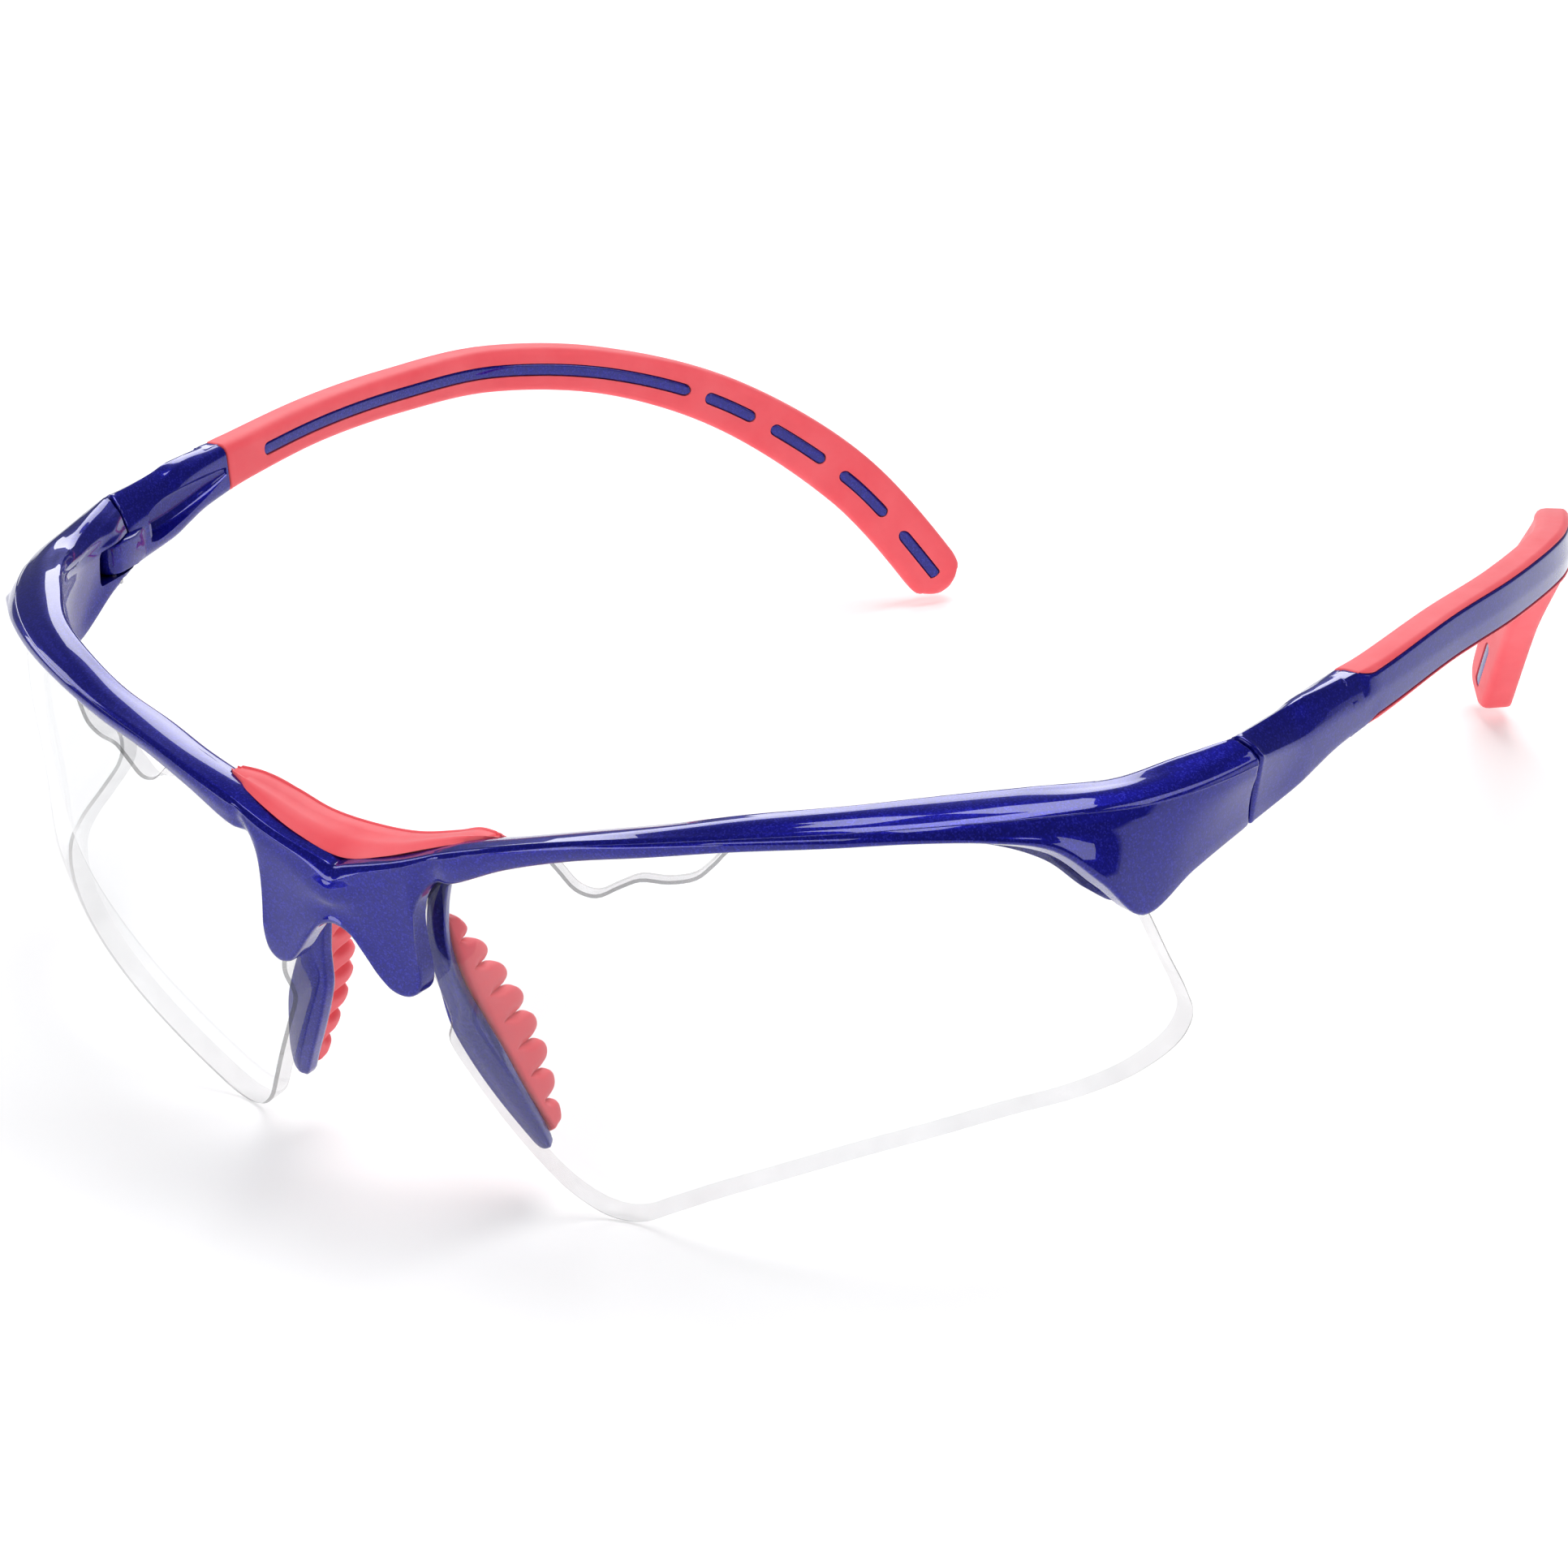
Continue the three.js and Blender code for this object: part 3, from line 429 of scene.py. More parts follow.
def front_frame():
    left = bar_stations()
    right = [[flipped(p) for p in station] for station in left[:0:-1]]
    stations = right + left
    rails = [smooth([station[c] for station in stations]) for c in range(len(left[0]))]
    radii = [0.55, 0.9, 0.5, 1.6, 0.6, 0.7, 0.8, 0.5]
    steps = (len(stations) - 1) * BAR_STEPS
    rings = []
    for i in range(steps + 1):
        corners = [rail(i / steps) for rail in rails]
        side = min(1.0, max(0.0, (abs(corners[2].x) - 56) / 8))
        plate = max(0.0, 1 - abs(corners[2].x) / 12)
        bulges = [-0.22 * side - 0.3 * plate, 0.05, lerp(0.25, 0.1, side), 0.3 * side, -0.3 * side,
                  0, 0, 0]
        rings.append(rounded_ring(corners, radii, bulges, side=5))
    body = loft("front_shell", round_ends(rings, 0.35))
    moved(body, brow_hollows)
    tools = []
    for make in (lens_groove, hinge_cavity, screw_bore):
        tool = make()
        tools += [tool, mirror_image(tool, tool.name + "_twin")]
    return boolean(body, tools, "DIFFERENCE", 34)


DISH = {"centre": Vector((60.4, 20.7, 43.4)), "along": Vector((0.5, 0.86, 0)), "long": 5.5,
        "wide": 1.5, "deep": 0.55, "lowest": 41.5}


def brow_hollows(p):
    """The shallow oval dish on top of each end piece."""
    offset = Vector((abs(p.x), p.y, p.z)) - DISH["centre"]
    if p.z < DISH["lowest"]:
        return Vector()
    run = offset.dot(DISH["along"]) / DISH["long"]
    across = offset.dot(DISH["along"].cross(UP)) / DISH["wide"]
    return Vector((0, 0, -DISH["deep"] * math.exp(-(run * run + across * across))))


def lens_groove():
    play = GROOVE_PLAY
    return shell_piece("groove", -play, LENS_THICKNESS + play, play, 0.02)


def hinge_outline(radius, degrees, corners):
    """A plan outline: an arc about the hinge axis, then corners given from that axis."""
    arc = [math.radians(d) for d in degrees]
    outline = [HINGE + Vector((radius * math.cos(a), radius * math.sin(a), 0)) for a in arc]
    return outline + [HINGE + Vector((x, y, 0)) for x, y in corners]


def upright(name, outline, levels, sharp=40):
    """A closed upright shape: its outline, drawn in by the inset at each height."""
    rings = [[Vector((p.x, p.y, z)) for p in shrunk(outline, inset, Vector())] for z, inset in levels]
    return loft(name, rings, sharp)


def hinge_cavity():
    """Where the temple's knuckle turns: a rounded pocket open to the rear and the inner side."""
    radius = KNUCKLE["radius"] + KNUCKLE_PLAY
    low, high = KNUCKLE["bottom"] - KNUCKLE_PLAY, KNUCKLE["top"] + KNUCKLE_PLAY
    corners = [(-0.6, -2.4), (-1.5, -3.4), (-2.6, -4), (-8, -4.4), (-8, 8), (radius, 8)]
    levels = [(low, 0.5), (low + 0.15, 0.2), (low + 0.5, 0),
              (high - 0.5, 0), (high - 0.15, 0.2), (high, 0.5)]
    return upright("cavity", hinge_outline(radius, range(0, -81, -10), corners), levels)


def screw_bore():
    """The counterbored hole up through the lower lug."""
    head, shank = SCREW_BORE["head"], SCREW_BORE["shank"]
    profile = [(head, SCREW_BORE["bottom"]), (head, SCREW_BORE["head_top"]),
               (shank, SCREW_BORE["head_top"] + 0.01), (shank, SCREW_BORE["top"])]
    rings = []
    for radius, z in profile:
        turns = [math.tau * i / BORE_SIDES for i in range(BORE_SIDES)]
        rings.append([HINGE + Vector((radius * math.cos(a), radius * math.sin(a), z)) for a in turns])
    return loft("bore", rings)


# Nose bracket and pads -------------------------------------------------------------------------

BRACKET_LINE = [(8, 32.8), (7.1, 29), (6.7, 25), (7.4, 20.8), (7.9, 17.2), (9.3, 13.8), (11.1, 10.4),
                (13, 7.2), (14.6, 4.5)]
BRACKET_WIDTHS = [2.4, 2.3, 2.4, 2.6, 3.7, 3.9, 3.3, 2.5, 1.5]
BRACKET_THICKNESS = 1.3


def nose_bracket():
    line = smooth([(x, z, width) for (x, z), width in zip(BRACKET_LINE, BRACKET_WIDTHS)])
    front = LENS_THICKNESS + GROOVE_PLAY
    rings = []
    steps = 60
    for i in range(steps + 1):
        x, z, width = line(i / steps)
        corners = [on_lens(x, z, front), on_lens(x + width, z + width * 0.35, front),
                   on_lens(x + width, z + width * 0.35, front + BRACKET_THICKNESS),
                   on_lens(x, z, front + BRACKET_THICKNESS)]
        rings.append(rounded_ring(corners, [0.3, 0.3, 0.45, 0.45], [0.12, 0, -0.1, 0]))
    return loft("nose_bracket_left", round_ends(rings, 0.5))


PAD_TOP = Vector((5.3, 0, 27.4))
PAD_BOTTOM = Vector((13, 0, 6.4))
PAD_THICKNESS = 2.4
PAD_FINS = 8
FIN_DEPTH = 2.1


def nose_pad():
    """A soft blade along the bracket: its rear edge is a row of rounded fins with hollows between."""
    run = (PAD_BOTTOM - PAD_TOP).normalized()
    length = (PAD_BOTTOM - PAD_TOP).length
    out = Vector((-run.z, 0, run.x))
    front_depth = LENS_THICKNESS + GROOVE_PLAY + BRACKET_THICKNESS + 0.1
    rows, columns = 160, 18

    def rear(s):
        return -3.1 + 6.0 * math.sin(math.pi * (0.02 + 0.78 * s)) ** 0.95 + 0.6 * s ** 6

    def fin(s):
        return abs(math.sin(math.pi * PAD_FINS * s)) ** 0.42

    bm = bmesh.new()
    sheets = []
    for side in (-1, 1):
        sheet = []
        for i in range(rows + 1):
            s = i / rows
            base = PAD_TOP + run * (length * s) + out * (PAD_THICKNESS / 2)
            front = lens_y(base.x, base.z, front_depth)
            depth = FIN_DEPTH * min(1.0, 0.15 + 5 * s, 0.15 + 5 * (1 - s))
            tip = rear(s) - depth * (1 - fin(s))
            tip = max(tip, front + 0.4)
            line = []
            for j in range(columns + 1):
                r = j / columns
                half = PAD_THICKNESS / 2 * (1 - max(0.0, (r - 0.35) / 0.65) ** 2.6) ** 0.5
                half *= (1 - (1 - min(1.0, r / 0.08)) ** 2 * 0.35)
                end = min(1.0, s / 0.035, (1 - s) / 0.035)
                half *= math.sqrt(max(0.0, 1 - (1 - end) ** 2))
                groove = math.cos(math.pi * PAD_FINS * s) ** 6 * min(1.0, max(0.0, (r - 0.3) / 0.25))
                half *= 1 - 0.5 * groove
                line.append(base + Vector((0, lerp(front, tip, r), 0)) + out * (side * half))
            sheet.append([bm.verts.new(place(p)) for p in line])
        sheets.append(sheet)
    for number, sheet in enumerate(sheets):
        for i in range(rows):
            for j in range(columns):
                quad = (sheet[i][j], sheet[i + 1][j], sheet[i + 1][j + 1], sheet[i][j + 1])
                bm.faces.new(quad if number else quad[::-1])
    inner, outer = sheets
    for i in range(rows):
        bm.faces.new((inner[i][0], inner[i + 1][0], outer[i + 1][0], outer[i][0]))
    bmesh.ops.remove_doubles(bm, verts=bm.verts, dist=2e-6)
    bmesh.ops.holes_fill(bm, edges=bm.edges, sides=0)
    return finished(bm, "nose_pad_left", 60)


# Brow pad --------------------------------------------------------------------------------------

# Each station has six corners: the front edge, the crest, the rear top, the rear bottom, the lower
# edge against the bar's back and the fold over the bar's rear top edge.
PAD_STATIONS = [
    [(0, -8.8, 33.9), (0, -4.9, 35.5), (0, -2.6, 34.6), (0, -2.2, 30.2), (0, -4.8, 30.2), (0, -5.2, 33.2)],
    [(5, -8.8, 35.1), (5, -4.9, 35.85), (5, -2.6, 34.9), (5, -2, 30.8), (5, -4.2, 30.8), (5, -5.2, 34.2)],
    [(9.2, -8.2, 36.5), (9.2, -4.7, 36.8), (9.2, -2.2, 35.8), (9, -1.4, 32.2), (8.9, -3, 32.2),
     (9.4, -5.2, 35.5)],
    [(12.2, -7.3, 37.3), (12.3, -5.1, 37.75), (12.4, -3, 37.2), (12.1, -1.4, 34.4), (12.1, -2.2, 34.4),
     (12.4, -4.6, 36.7)],
    [(15, -6.2, 37.8), (15.2, -5.3, 38), (15.2, -4.3, 37.8), (14.8, -3.1, 36.7), (14.8, -3.5, 36.6),
     (15, -4.6, 37.3)],
]


def brow_pad():
    left = [[Vector(p) for p in station] for station in PAD_STATIONS]
    stations = [[flipped(p) for p in station] for station in left[:0:-1]] + left
    rails = [smooth([station[c] for station in stations]) for c in range(6)]
    steps = 96
    rings = []
    for i in range(steps + 1):
        corners = [rail(i / steps) for rail in rails]
        rings.append(rounded_ring(corners, [0.35, 1.4, 1.4, 0.9, 0.4, 0.6], [0.35, 0.2, 0.1, 0, 0, 0]))
    return loft("brow_pad_soft", round_ends(rings, 0.6), 50)


# Temples ---------------------------------------------------------------------------------------

TEMPLE_LINE = [
    (66.3, 39.6, 40.4), (67, 46, 41.1), (67.6, 53.5, 41.4), (67.9, 66, 41.8), (67.8, 79.5, 41.2),
    (65.9, 94, 40), (60.2, 108, 36.7), (53.2, 123, 29.2), (44.6, 135.4, 17.4), (38.4, 143, 4.7),
    (37.1, 144.6, 1.1),
]
TEMPLE_HEIGHT = [7.4, 5.7, 4.9, 4.6, 4.7, 5, 5.2, 6.2, 7, 7, 4.4]
RIDGE_AT = [0.22, 0.15, 0, -0.2, -0.2, -0.2, -0.2, -0.2, -0.2, -0.2, -0.2]  # shares of half the height
# Where each window starts and ends along the line
WINDOWS = [(0.22, 0.664), (0.676, 0.717), (0.73, 0.774), (0.788, 0.836), (0.853, 0.92)]
WINDOW_HEIGHT = 1.5
# How much each rib of the core stays inside its window: along the line, in height and in depth
RIB = {"short": 0.0003, "narrow": 0.04, "sunk": 0.08}

temple_curve = smooth(TEMPLE_LINE)
height_curve = smooth([(h, 0, 0) for h in TEMPLE_HEIGHT])
ridge_curve = smooth([(r, 0, 0) for r in RIDGE_AT])


def temple_frame(t):
    step = 1e-3
    along = (temple_curve(min(1, t + step)) - temple_curve(max(0, t - step))).normalized()
    up = (UP - along * along.z).normalized()
    return {"centre": temple_curve(t), "up": up, "out": along.cross(up),
            "half": height_curve(t).x / 2, "ridge": ridge_curve(t).x, "t": t}


def temple_point(at, out, up):
    return at["centre"] + at["out"] * out + at["up"] * up


def temple_corners(at, w):
    """The whole section, w to each side: outer low, ridge, outer top, inner top, inner low."""
    h = at["half"]
    places = [(w - 0.35, -h), (w, at["ridge"] * h), (w - 0.8, h), (-w, h), (-w, -h)]
    return [temple_point(at, out, up) for out, up in places]


# The five corners at the hinge seam
SEAM = [(66.2, 33.9, 34.8), (68, 32.7, 42.1), (65.5, 32.2, 44.2), (63.5, 32.1, 40.8), (63, 32.7, 36.6)]

# Behind the seam: the place along, how far out the crown lies, how high the inner rim lies as a share
# of half the height, and how much both are raised
FRONT_SECTIONS = [
    (0.0, 0.25, 0.28, 0.35), (0.04, 0.5, 0.48, 0.5), (0.085, 0.75, 0.7, 0.3),
    (GRIP_START - 0.004, 0.95, 0.95, 0),
]


def temple_front():
    """The bare front of the temple, from the hinge seam to the grip, bevelled down to its inner rim."""
    stations = [[Vector(p) for p in SEAM]]
    for t, crown, rim, raised in FRONT_SECTIONS:
        at = temple_frame(t)
        w, h = TEMPLE_WIDTH / 2, at["half"]
        places = [(w - 0.35, -h), (w, at["ridge"] * h), (crown, h + raised),
                  (-w, rim * h + raised), (-w, -h)]
        stations.append([temple_point(at, out, up) for out, up in places])
    rails = [smooth([s[c] for s in stations]) for c in range(5)]
    steps = 60
    rings = []
    for i in range(steps + 1):
        corners = [rail(i / steps) for rail in rails]
        ahead = 1 - i / steps
        radii = [0.55, 0.5, lerp(0.8, 1.5, ahead), lerp(1.1, 0.9, ahead), 0.9]
        rings.append(rounded_ring(corners, radii, [0, lerp(0.05, 0.1, ahead), 0.2 * ahead, 0, 0]))
    return loft("temple_front", round_ends(rings, 0.3, last=False))


def strip_span(t, half):
    """The core's bar: bottom, top, and how far each has gone from the whole height to the strip's."""
    low = -STRIP_HEIGHT / 2
    top_share = smoothstep((t - GRIP_START + 0.004) / 0.03)
    low_share = smoothstep((t - GRIP_START - 0.004) / 0.03)
    high = low + STRIP_HEIGHT
    return lerp(-half, low, low_share), lerp(half, high, top_share), low_share, top_share


def strip_ring(at):
    w = TEMPLE_WIDTH / 2 - 0.02
    low, high, low_share, top_share = strip_span(at["t"], at["half"] - 0.03)
    places = [(lerp(w - 0.36, w - 0.2, low_share), low), (w, at["ridge"] * at["half"] + 0.3 * low_share),
              (lerp(w - 0.95, w - 0.25, top_share), high), (w - CORE_WIDTH, high), (w - CORE_WIDTH, low)]
    corners = [temple_point(at, out, up) for out, up in places]
    return rounded_ring(corners, [0.25, 0.35, 0.25, 0.2, 0.2])


def temple_sweep(name, section, start, end, steps, end_radius):
    rings = [section(temple_frame(lerp(start, end, i / steps))) for i in range(steps + 1)]
    return loft(name, round_ends(rings, end_radius))


def temple_core():
    front = temple_front()
    bar = temple_sweep("strip", strip_ring, GRIP_START - 0.03, GRIP_END, 120, 0.2)
    ribs = []
    for i, (a, b) in enumerate(WINDOWS):
        start, end = a + RIB["short"], b - RIB["short"]
        ribs.append(window_block(f"rib_{i}", start, end, -RIB["narrow"], -RIB["sunk"]))
    knuckle = hinge_knuckle()
    core = boolean(front, [pocket()], "DIFFERENCE", 34)
    return boolean(core, [bar, knuckle, *ribs], "UNION", 34)


def window_block(name, start, end, grow, proud):
    """A round-ended bar across the grip's inner wall, along a stretch of the temple."""
    w = TEMPLE_WIDTH / 2
    half = WINDOW_HEIGHT / 2 + grow
    length = (temple_curve(end) - temple_curve(start)).length
    steps = max(24, round((end - start) * 160))
    rings = []
    for i in range(steps + 1):
        share = (1 - math.cos(math.pi * i / steps)) / 2
        near_end = min(share, 1 - share) * length
        squeeze = math.sqrt(max(0.01, 1 - max(0.0, 1 - near_end / half) ** 2))
        at = temple_frame(lerp(start, end, share))
        places = [(w - CORE_WIDTH + 0.4, -half * squeeze), (w - CORE_WIDTH + 0.4, half * squeeze),
                  (-w - proud, half * squeeze), (-w - proud, -half * squeeze)]
        corners = [temple_point(at, out, up) for out, up in places]
        rings.append(rounded_ring(corners, [0.05, 0.05, 0.3, 0.3], arc=3, side=1))
    return loft(name, rings)


def hinge_knuckle():
    """The temple's eye and the neck that joins it to the temple's inner side."""
    low, high = KNUCKLE["bottom"], KNUCKLE["top"]
    radius = KNUCKLE["radius"]
    corners = [(radius, 6.4), (0.6, 6.8), (-0.1, 5), (-1.1, 3)]
    levels = [(low, 0.45), (low + 0.13, 0.13), (low + 0.45, 0),
              (high - 0.45, 0), (high - 0.13, 0.13), (high, 0.45)]
    return upright("knuckle", hinge_outline(radius, range(-190, 1, 10), corners), levels, 50)


POCKET = {"from": 35.5, "to": 49.3, "middle": 39.3, "rise": 1.9, "half": 2.7, "flare": 0.9,
          "mouth": 60, "floor": 66, "end_floor": 65.6}


def pocket():
    """The scooped hollow in the temple's inner side behind the hinge, drawn out to the rear."""
    rings = []
    steps = 30
    for i in range(steps + 1):
        share = i / steps
        y = lerp(POCKET["from"], POCKET["to"], share)
        half = POCKET["half"] * math.sin(math.pi * (0.03 + 0.94 * share)) ** 0.32 * (1 - 0.55 * share)
        middle = POCKET["middle"] + POCKET["rise"] * share
        mouth, floor = POCKET["mouth"], lerp(POCKET["floor"], POCKET["end_floor"], share ** 4)
        corners = [Vector((mouth, y, middle - half - POCKET["flare"])),
                   Vector((mouth, y, middle + half + POCKET["flare"])),
                   Vector((floor, y, middle + half * 0.7)), Vector((floor, y, middle - half * 0.7))]
        rings.append(rounded_ring(corners, [0.05, 0.05, 0.9, 0.9]))
    return loft("pocket", rings)


def grip_ring(at):
    """The grip's section: a thick skin with a channel on the outer side for the core's strip."""
    w, h = TEMPLE_WIDTH / 2, at["half"]
    low, high, low_share, top_share = strip_span(at["t"], h - 0.1)
    low, high = low - 0.05, high + 0.05
    floor = w - CORE_WIDTH - 0.1
    places = [(lerp(w - 0.5, w - 0.1, low_share), low), (w - 0.35 - 0.25 * (1 - low_share), -h), (-w, -h),
              (-w, h), (w - 0.8 - 0.25 * (1 - top_share), h), (lerp(w - 1, w - 0.3, top_share), high),
              (floor, high), (floor, low)]
    corners = [temple_point(at, out, up) for out, up in places]
    return rounded_ring(corners, [0.3, 0.9, 0.95, 1.2, 0.9, 0.3, 0.15, 0.15])


# Where the grip ends along the line, and over what lengths its height and its width close there
TIP = {"end": 0.994, "round": 3.4, "edge": 1.9}


def tip_rings():
    """The grip's rounded end: its height closes like a half circle, and its width near the very end."""
    rings = []
    end = temple_curve(TIP["end"])
    for i in range(33):
        t = lerp(GRIP_END - 0.01, TIP["end"], math.sin(i / 32 * math.pi / 2))
        left = max(0.02, (temple_curve(t) - end).length)
        at = temple_frame(t)
        at["half"] *= math.sqrt(1 - max(0.0, 1 - left / TIP["round"]) ** 2)
        wide = math.sqrt(1 - max(0.0, 1 - left / TIP["edge"]) ** 2)
        rings.append(rounded_ring(temple_corners(at, TEMPLE_WIDTH / 2 * wide), [1.0, 1.0, 1.0, 1.0, 1.0]))
    return rings


def temple_grip():
    grip = temple_sweep("temple_grip_left", grip_ring, GRIP_START, GRIP_END, 150, 0.3)
    tip = loft("tip", tip_rings(), 50)
    openings = [window_block(f"window_{i}", a, b, 0.0, 1.0) for i, (a, b) in enumerate(WINDOWS)]
    grip = boolean(grip, [tip], "UNION", 50)
    return boolean(grip, openings, "DIFFERENCE", 34)


# Materials -------------------------------------------------------------------------------------

class Nodes:
    """A material with its Principled shader and short calls to add nodes to it."""

    def __init__(self, name):
        self.material = bpy.data.materials.new(name)
        self.material.use_nodes = True
        self.tree = self.material.node_tree
        self.shader = self.tree.nodes["Principled BSDF"]
        self.output = self.tree.nodes["Material Output"]
        self.object = self.add("ShaderNodeTexCoord").outputs["Object"]

    def add(self, kind, **settings):
        node = self.tree.nodes.new(kind)
        for key, value in settings.items():
            setattr(node, key, value)
        return node

    def link(self, out, into):
        self.tree.links.new(out, into)

    def set(self, **values):
        for key, value in values.items():
            self.shader.inputs[key.replace("_", " ")].default_value = value

    def noise(self, scale, detail=3.0):
        node = self.add("ShaderNodeTexNoise")
        node.inputs["Scale"].default_value = scale
        node.inputs["Detail"].default_value = detail
        node.inputs["Roughness"].default_value = 0.55
        self.link(self.object, node.inputs["Vector"])
        return node.outputs["Fac"]

    def cells(self, scale):
        node = self.add("ShaderNodeTexVoronoi")
        node.inputs["Scale"].default_value = scale
        self.link(self.object, node.inputs["Vector"])
        return node.outputs["Color"]

    def ramp(self, source, stops):
        node = self.add("ShaderNodeValToRGB")
        first, last = node.color_ramp.elements
        for element, (at, color) in zip((first, last), (stops[0], stops[-1])):
            element.position = at
            element.color = color
        for at, color in stops[1:-1]:
            node.color_ramp.elements.new(at).color = color
        self.link(source, node.inputs["Fac"])
        return node.outputs["Color"]

    def spread(self, source, low, high):
        node = self.add("ShaderNodeMapRange")
        node.inputs["To Min"].default_value = low
        node.inputs["To Max"].default_value = high
        self.link(source, node.inputs["Value"])
        return node.outputs["Result"]

    def bump(self, source, strength, distance):
        node = self.add("ShaderNodeBump")
        node.inputs["Strength"].default_value = strength
        node.inputs["Distance"].default_value = distance
        self.link(source, node.inputs["Height"])
        return node.outputs["Normal"]

    def see_through(self, cover):
        """Shows the shader by its cover from 0 to 1, and what lies behind for the rest."""
        clear = self.add("ShaderNodeBsdfTransparent")
        mix = self.add("ShaderNodeMixShader")
        self.link(cover, mix.inputs["Fac"])
        self.link(clear.outputs["BSDF"], mix.inputs[1])
        self.link(self.shader.outputs["BSDF"], mix.inputs[2])
        self.link(mix.outputs["Shader"], self.output.inputs["Surface"])
        return clear


def blue_lacquer():
    """Deep metallic blue under a clear gloss coat, with fine flake."""
    n = Nodes("blue_lacquer")
    flake = n.cells(7000)
    separate = n.add("ShaderNodeSeparateColor")
    n.link(flake, separate.inputs["Color"])
    base = n.ramp(separate.outputs["Red"], [
        (0.0, (0.004, 0.004, 0.17, 1)),
        (0.7, (0.006, 0.006, 0.25, 1)),
        (1.0, (0.02, 0.02, 0.36, 1)),
    ])
    n.link(base, n.shader.inputs["Base Color"])
    n.link(n.spread(n.noise(900), 0.26, 0.36), n.shader.inputs["Roughness"])
    grain = n.bump(separate.outputs["Green"], 0.12, 0.00002)
    n.link(grain, n.shader.inputs["Normal"])
    coat = n.bump(n.noise(260, 2), 0.03, 0.00003)
    n.link(coat, n.shader.inputs["Coat Normal"])
    n.set(Metallic=0.5, Specular_IOR_Level=0.0, Coat_Weight=1.0, Coat_Roughness=0.02, Coat_IOR=1.5)
    return n.material


def coral_rubber(name, bump_scale):
    """Soft-touch elastomer: matt, faintly translucent, with a fine moulded grain."""
    n = Nodes(name)
    tone = n.ramp(n.noise(140, 4), [
        (0.3, (0.94, 0.085, 0.11, 1)),
        (0.75, (1.0, 0.13, 0.155, 1)),
    ])
    n.link(tone, n.shader.inputs["Base Color"])
    n.link(n.spread(n.noise(600), 0.44, 0.58), n.shader.inputs["Roughness"])
    grain = n.bump(n.noise(bump_scale, 2), 0.12, 0.00003)
    n.link(grain, n.shader.inputs["Normal"])
    n.set(Subsurface_Weight=0.12, Subsurface_Scale=0.001, Subsurface_Radius=(1.0, 0.3, 0.2),
          Sheen_Weight=0.12, Sheen_Roughness=0.5, Specular_IOR_Level=0.4)
    return n.material


def clear_polycarbonate():
    """Polished clear lens: it shows what is behind it, with a faint grey and a coat's reflections."""
    n = Nodes("clear_polycarbonate")
    tint = n.ramp(n.noise(60, 2), [(0.0, (0.955, 0.96, 0.962, 1)), (1.0, (0.972, 0.976, 0.978, 1))])
    facing = n.add("ShaderNodeLayerWeight")
    facing.inputs["Blend"].default_value = 0.5
    power = n.add("ShaderNodeMath", operation="POWER")
    n.link(facing.outputs["Facing"], power.inputs[0])
    power.inputs[1].default_value = 4.0
    clear = n.see_through(n.spread(power.outputs[0], 0.035, 0.7))
    n.link(tint, clear.inputs["Color"])
    n.link(n.spread(n.noise(300), 0.0, 0.03), n.shader.inputs["Roughness"])
    n.set(Base_Color=(0.9, 0.9, 0.9, 1), Metallic=1.0)
    return n.material


def ground_edge_with_painted_light(name, grey, cover):
    """A cut edge or bevel of the lens: fine grinding marks, partly see-through, with painted grey for the
    shade and reflections a clear edge shows.
    """
    n = Nodes(name)
    # Painted light: this grey stands in for the shade and reflections seen at the clear edge; the lens
    # itself has no such colour
    tone = n.ramp(n.noise(500, 4), [(0.2, (grey * 0.85,) * 3 + (1,)), (0.8, (grey * 1.1,) * 3 + (1,))])
    n.link(tone, n.shader.inputs["Base Color"])
    n.link(n.spread(n.noise(1200), 0.15, 0.35), n.shader.inputs["Roughness"])
    n.link(n.bump(n.noise(1500, 2), 0.2, 0.00003), n.shader.inputs["Normal"])
    n.see_through(n.spread(n.noise(200), cover - 0.1, cover + 0.1))
    return n.material


def turned_metal(name, color, roughness):
    """Small lathe-turned hardware, with rings of tool marks about the upright axis."""
    n = Nodes(name)
    marks = n.add("ShaderNodeTexWave", wave_type="RINGS", rings_direction="Z")
    marks.inputs["Scale"].default_value = 1500
    n.link(n.object, marks.inputs["Vector"])
    tone = n.ramp(n.noise(900), [(0.2, tuple(c * 0.8 for c in color) + (1,)), (0.8, (*color, 1))])
    n.link(tone, n.shader.inputs["Base Color"])
    n.link(n.spread(marks.outputs["Fac"], roughness, roughness + 0.12), n.shader.inputs["Roughness"])
    n.link(n.bump(marks.outputs["Fac"], 0.15, 0.00002), n.shader.inputs["Normal"])
    n.set(Metallic=1.0)
    return n.material


def paper_white():
    n = Nodes("paper_white")
    tone = n.ramp(n.noise(3, 2), [(0.0, (0.88, 0.88, 0.885, 1)), (1.0, (0.9, 0.9, 0.9, 1))])
    n.link(tone, n.shader.inputs["Base Color"])
    n.set(Roughness=0.7, Emission_Color=(1, 1, 1, 1), Emission_Strength=0.28)
    return n.material


# Assembly --------------------------------------------------------------------------------------

BLUE = blue_lacquer()
CORAL = coral_rubber("coral_rubber", 2600)
CORAL_SOFT = coral_rubber("coral_rubber_soft", 1800)
CLEAR = clear_polycarbonate()
# The bevel's dark grey is painted shade and the edge's lighter grey is painted reflection, both for light
# bending at the clear edge
BEVEL = ground_edge_with_painted_light("lens_bevel", 0.07, 0.62)
EDGE = ground_edge_with_painted_light("lens_edge", 0.3, 0.24)


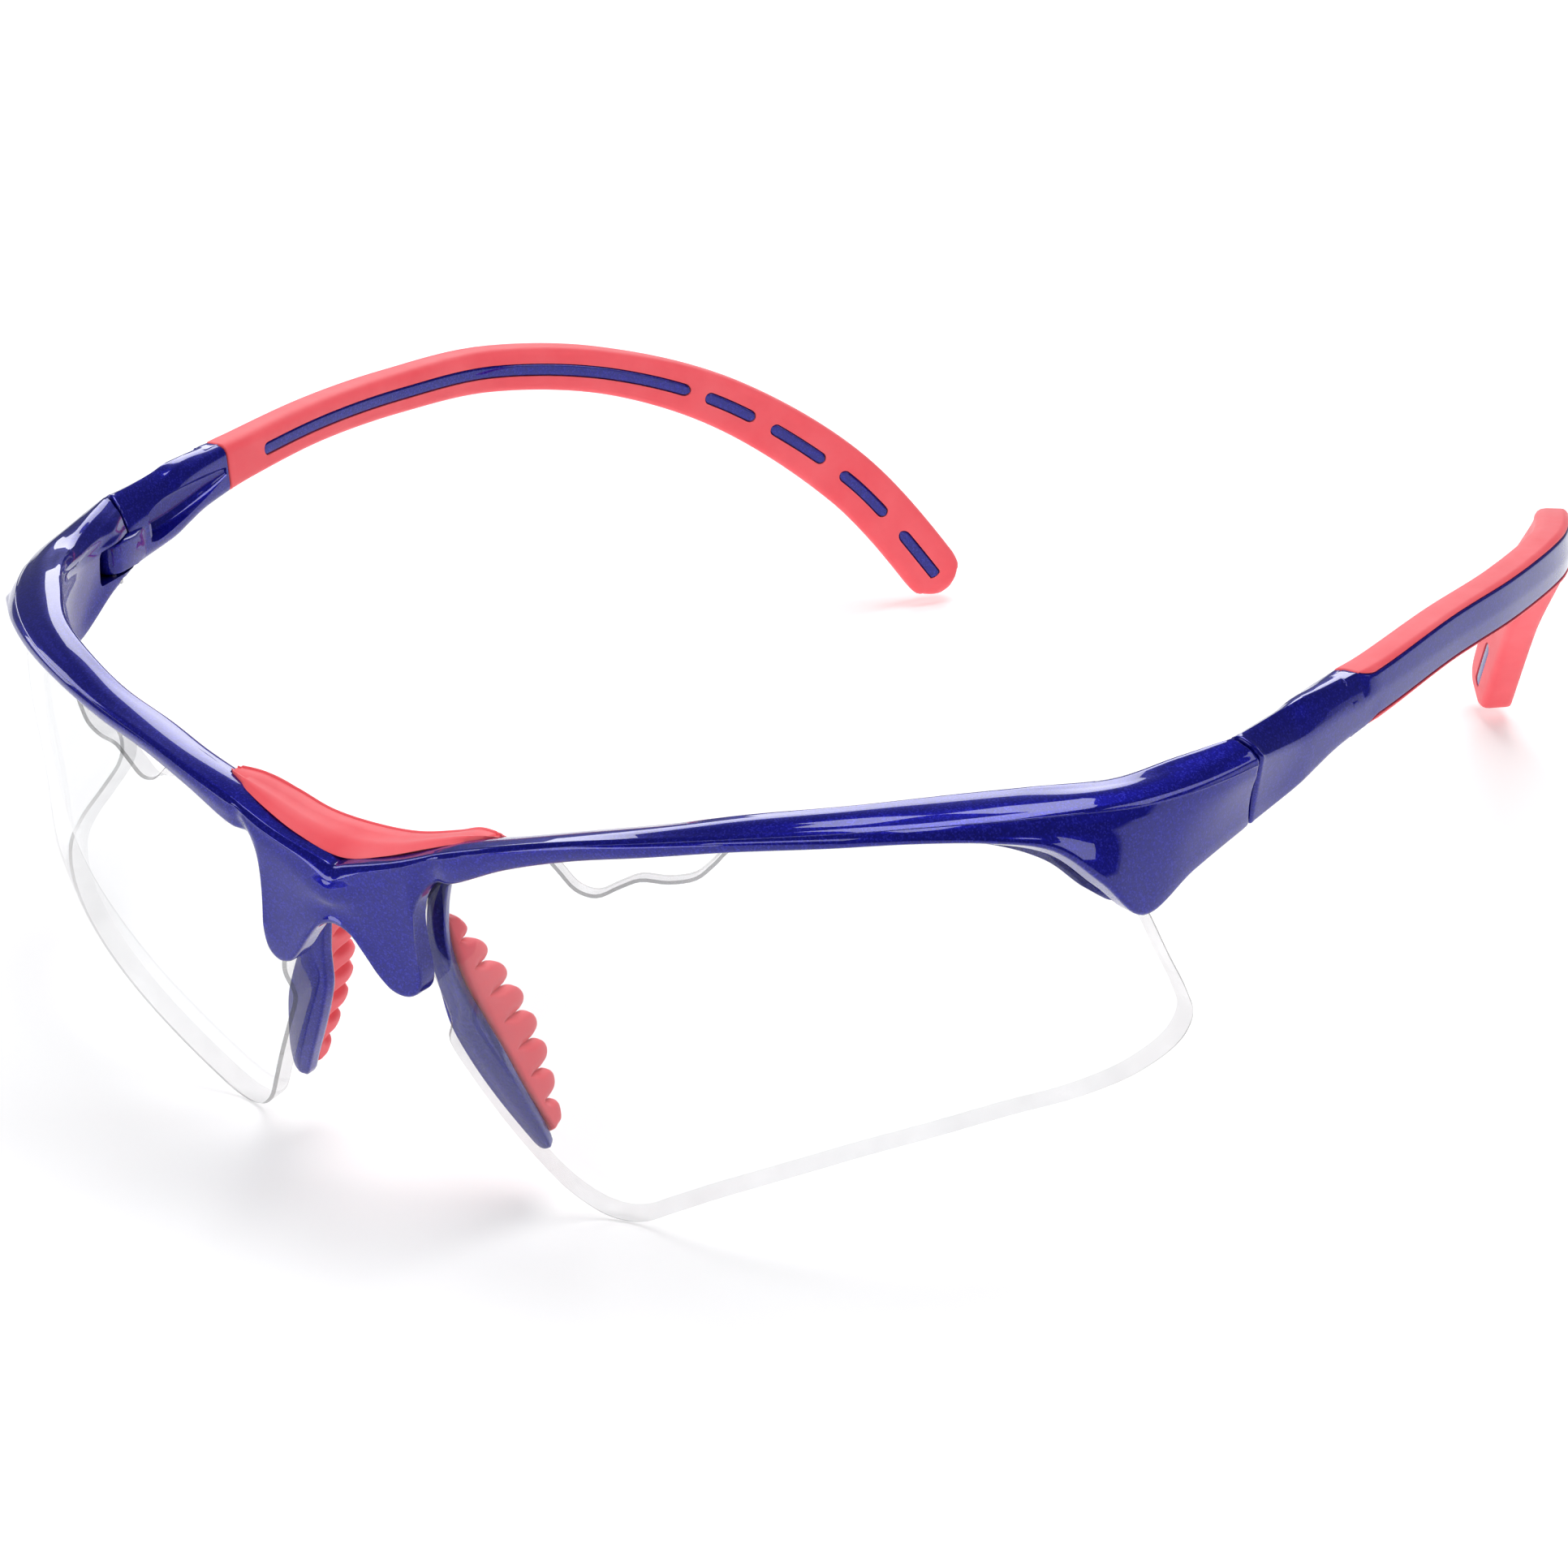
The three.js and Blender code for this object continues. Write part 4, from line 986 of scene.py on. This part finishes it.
def dress(piece, materials, body, slot, *nodes):
    kept = [polygon.material_index for polygon in piece.data.polygons]
    piece.data.materials.clear()
    for material in materials:
        piece.data.materials.append(material)
    piece.data.polygons.foreach_set("material_index", [min(k, len(materials) - 1) for k in kept])
    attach(piece, body)
    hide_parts(*nodes)
    return piece


def dress_pair(left, stem, materials, bodies, slot):
    left.name = f"{stem}_left_fine"
    right = mirror_image(left, f"{stem}_right_fine")
    dress(left, materials, bodies[0], slot, f"{stem}_left")
    dress(right, materials, bodies[1], slot, f"{stem}_right")
    return left, right


dress(front_frame(), [BLUE], "front", "frame_lacquer", "front_frame")
dress(brow_pad(), [CORAL_SOFT], "front", "soft_grip", "brow_pad")
dress_pair(lens(), "lens", [CLEAR, BEVEL, EDGE], ("front", "front"), "clear_lens")
dress_pair(nose_bracket(), "nose_bracket", [BLUE], ("front", "front"), "frame_lacquer")
for pad in dress_pair(nose_pad(), "nose_pad", [CORAL_SOFT], ("front", "front"), "soft_grip"):
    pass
dress_pair(temple_core(), "temple_core", [BLUE], ("temple_left", "temple_right"), "frame_lacquer")
dress_pair(temple_grip(), "temple_grip", [CORAL], ("temple_left", "temple_right"), "soft_grip")

STEEL = turned_metal("turned_steel", (0.6, 0.6, 0.62), 0.2)
BRASS = turned_metal("turned_brass", (0.72, 0.5, 0.2), 0.22)
for node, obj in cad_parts.items():
    if node.startswith("hinge_"):
        obj.data.materials.clear()
        obj.data.materials.append(STEEL if "screw" in node else BRASS)


# Floor, light and camera -----------------------------------------------------------------------

def floor():
    bm = bmesh.new()
    bmesh.ops.create_grid(bm, x_segments=24, y_segments=24, size=6)
    mesh = bpy.data.meshes.new("floor")
    bm.to_mesh(mesh)
    bm.free()
    obj = bpy.data.objects.new("floor", mesh)
    obj.location.z = FLOOR_Z
    mesh.materials.append(paper_white())
    bpy.context.scene.collection.objects.link(obj)


def area_light(name, place_at, aim, size, power):
    data = bpy.data.lights.new(name, "AREA")
    data.shape = "RECTANGLE"
    data.size, data.size_y = size
    data.energy = power
    obj = bpy.data.objects.new(name, data)
    obj.location = place_at
    obj.rotation_euler = (Vector(aim) - Vector(place_at)).to_track_quat("-Z", "Y").to_euler()
    bpy.context.scene.collection.objects.link(obj)


def studio():
    floor()
    area_light("top_softbox", (0.1, 0.15, 0.9), (0, 0, 0.03), (0.6, 0.5), 5)
    area_light("rear_softbox", (-0.55, 0.78, 0.5), (0, 0, 0.03), (0.7, 0.4), 3.2)
    area_light("front_softbox", (0.2, -0.9, 0.6), (0, -0.05, 0.03), (0.5, 0.3), 1.6)
    area_light("low_strip", (-0.3, -0.95, 0.15), (0, 0, 0.04), (0.9, 0.2), 2.4)
    area_light("left_softbox", (-0.9, -0.1, 0.45), (0, 0, 0.03), (0.4, 0.5), 2)
    area_light("right_softbox", (0.9, 0.25, 0.5), (0, 0, 0.03), (0.4, 0.5), 1.6)
    world = bpy.data.worlds.new("studio")
    world.use_nodes = True
    world.node_tree.nodes["Background"].inputs["Color"].default_value = (0.9, 0.93, 1, 1)
    world.node_tree.nodes["Background"].inputs["Strength"].default_value = 0.12
    bpy.context.scene.world = world
    bpy.context.scene.view_settings.view_transform = "Standard"


# Solved from mirrored pairs of points in the photograph, with the lens's length chosen
CAMERA = {"place": Vector((210.75, -233.46, 171.17)), "azimuth": 35.92, "elevation": 23.4,
          "roll": 2.64, "lens": 88.54, "sensor": 36}


def camera():
    azimuth, elevation, roll = [math.radians(CAMERA[k]) for k in ("azimuth", "elevation", "roll")]
    forward = Vector((-math.sin(azimuth) * math.cos(elevation), math.cos(azimuth) * math.cos(elevation),
                      -math.sin(elevation)))
    level = Vector((math.cos(azimuth), math.sin(azimuth), 0))
    down = forward.cross(level)
    right = level * math.cos(roll) + down * math.sin(roll)
    top = -forward.cross(right)
    data = bpy.data.cameras.new("camera")
    data.lens = CAMERA["lens"]
    data.sensor_width = CAMERA["sensor"]
    data.clip_start = 0.01
    obj = bpy.data.objects.new("camera", data)
    turn = Matrix((right, top, -forward)).transposed().to_4x4()
    obj.matrix_world = Matrix.Translation(place(CAMERA["place"])) @ turn
    bpy.context.scene.collection.objects.link(obj)
    bpy.context.scene.camera = obj


studio()
camera()

bpy.context.view_layer.update()
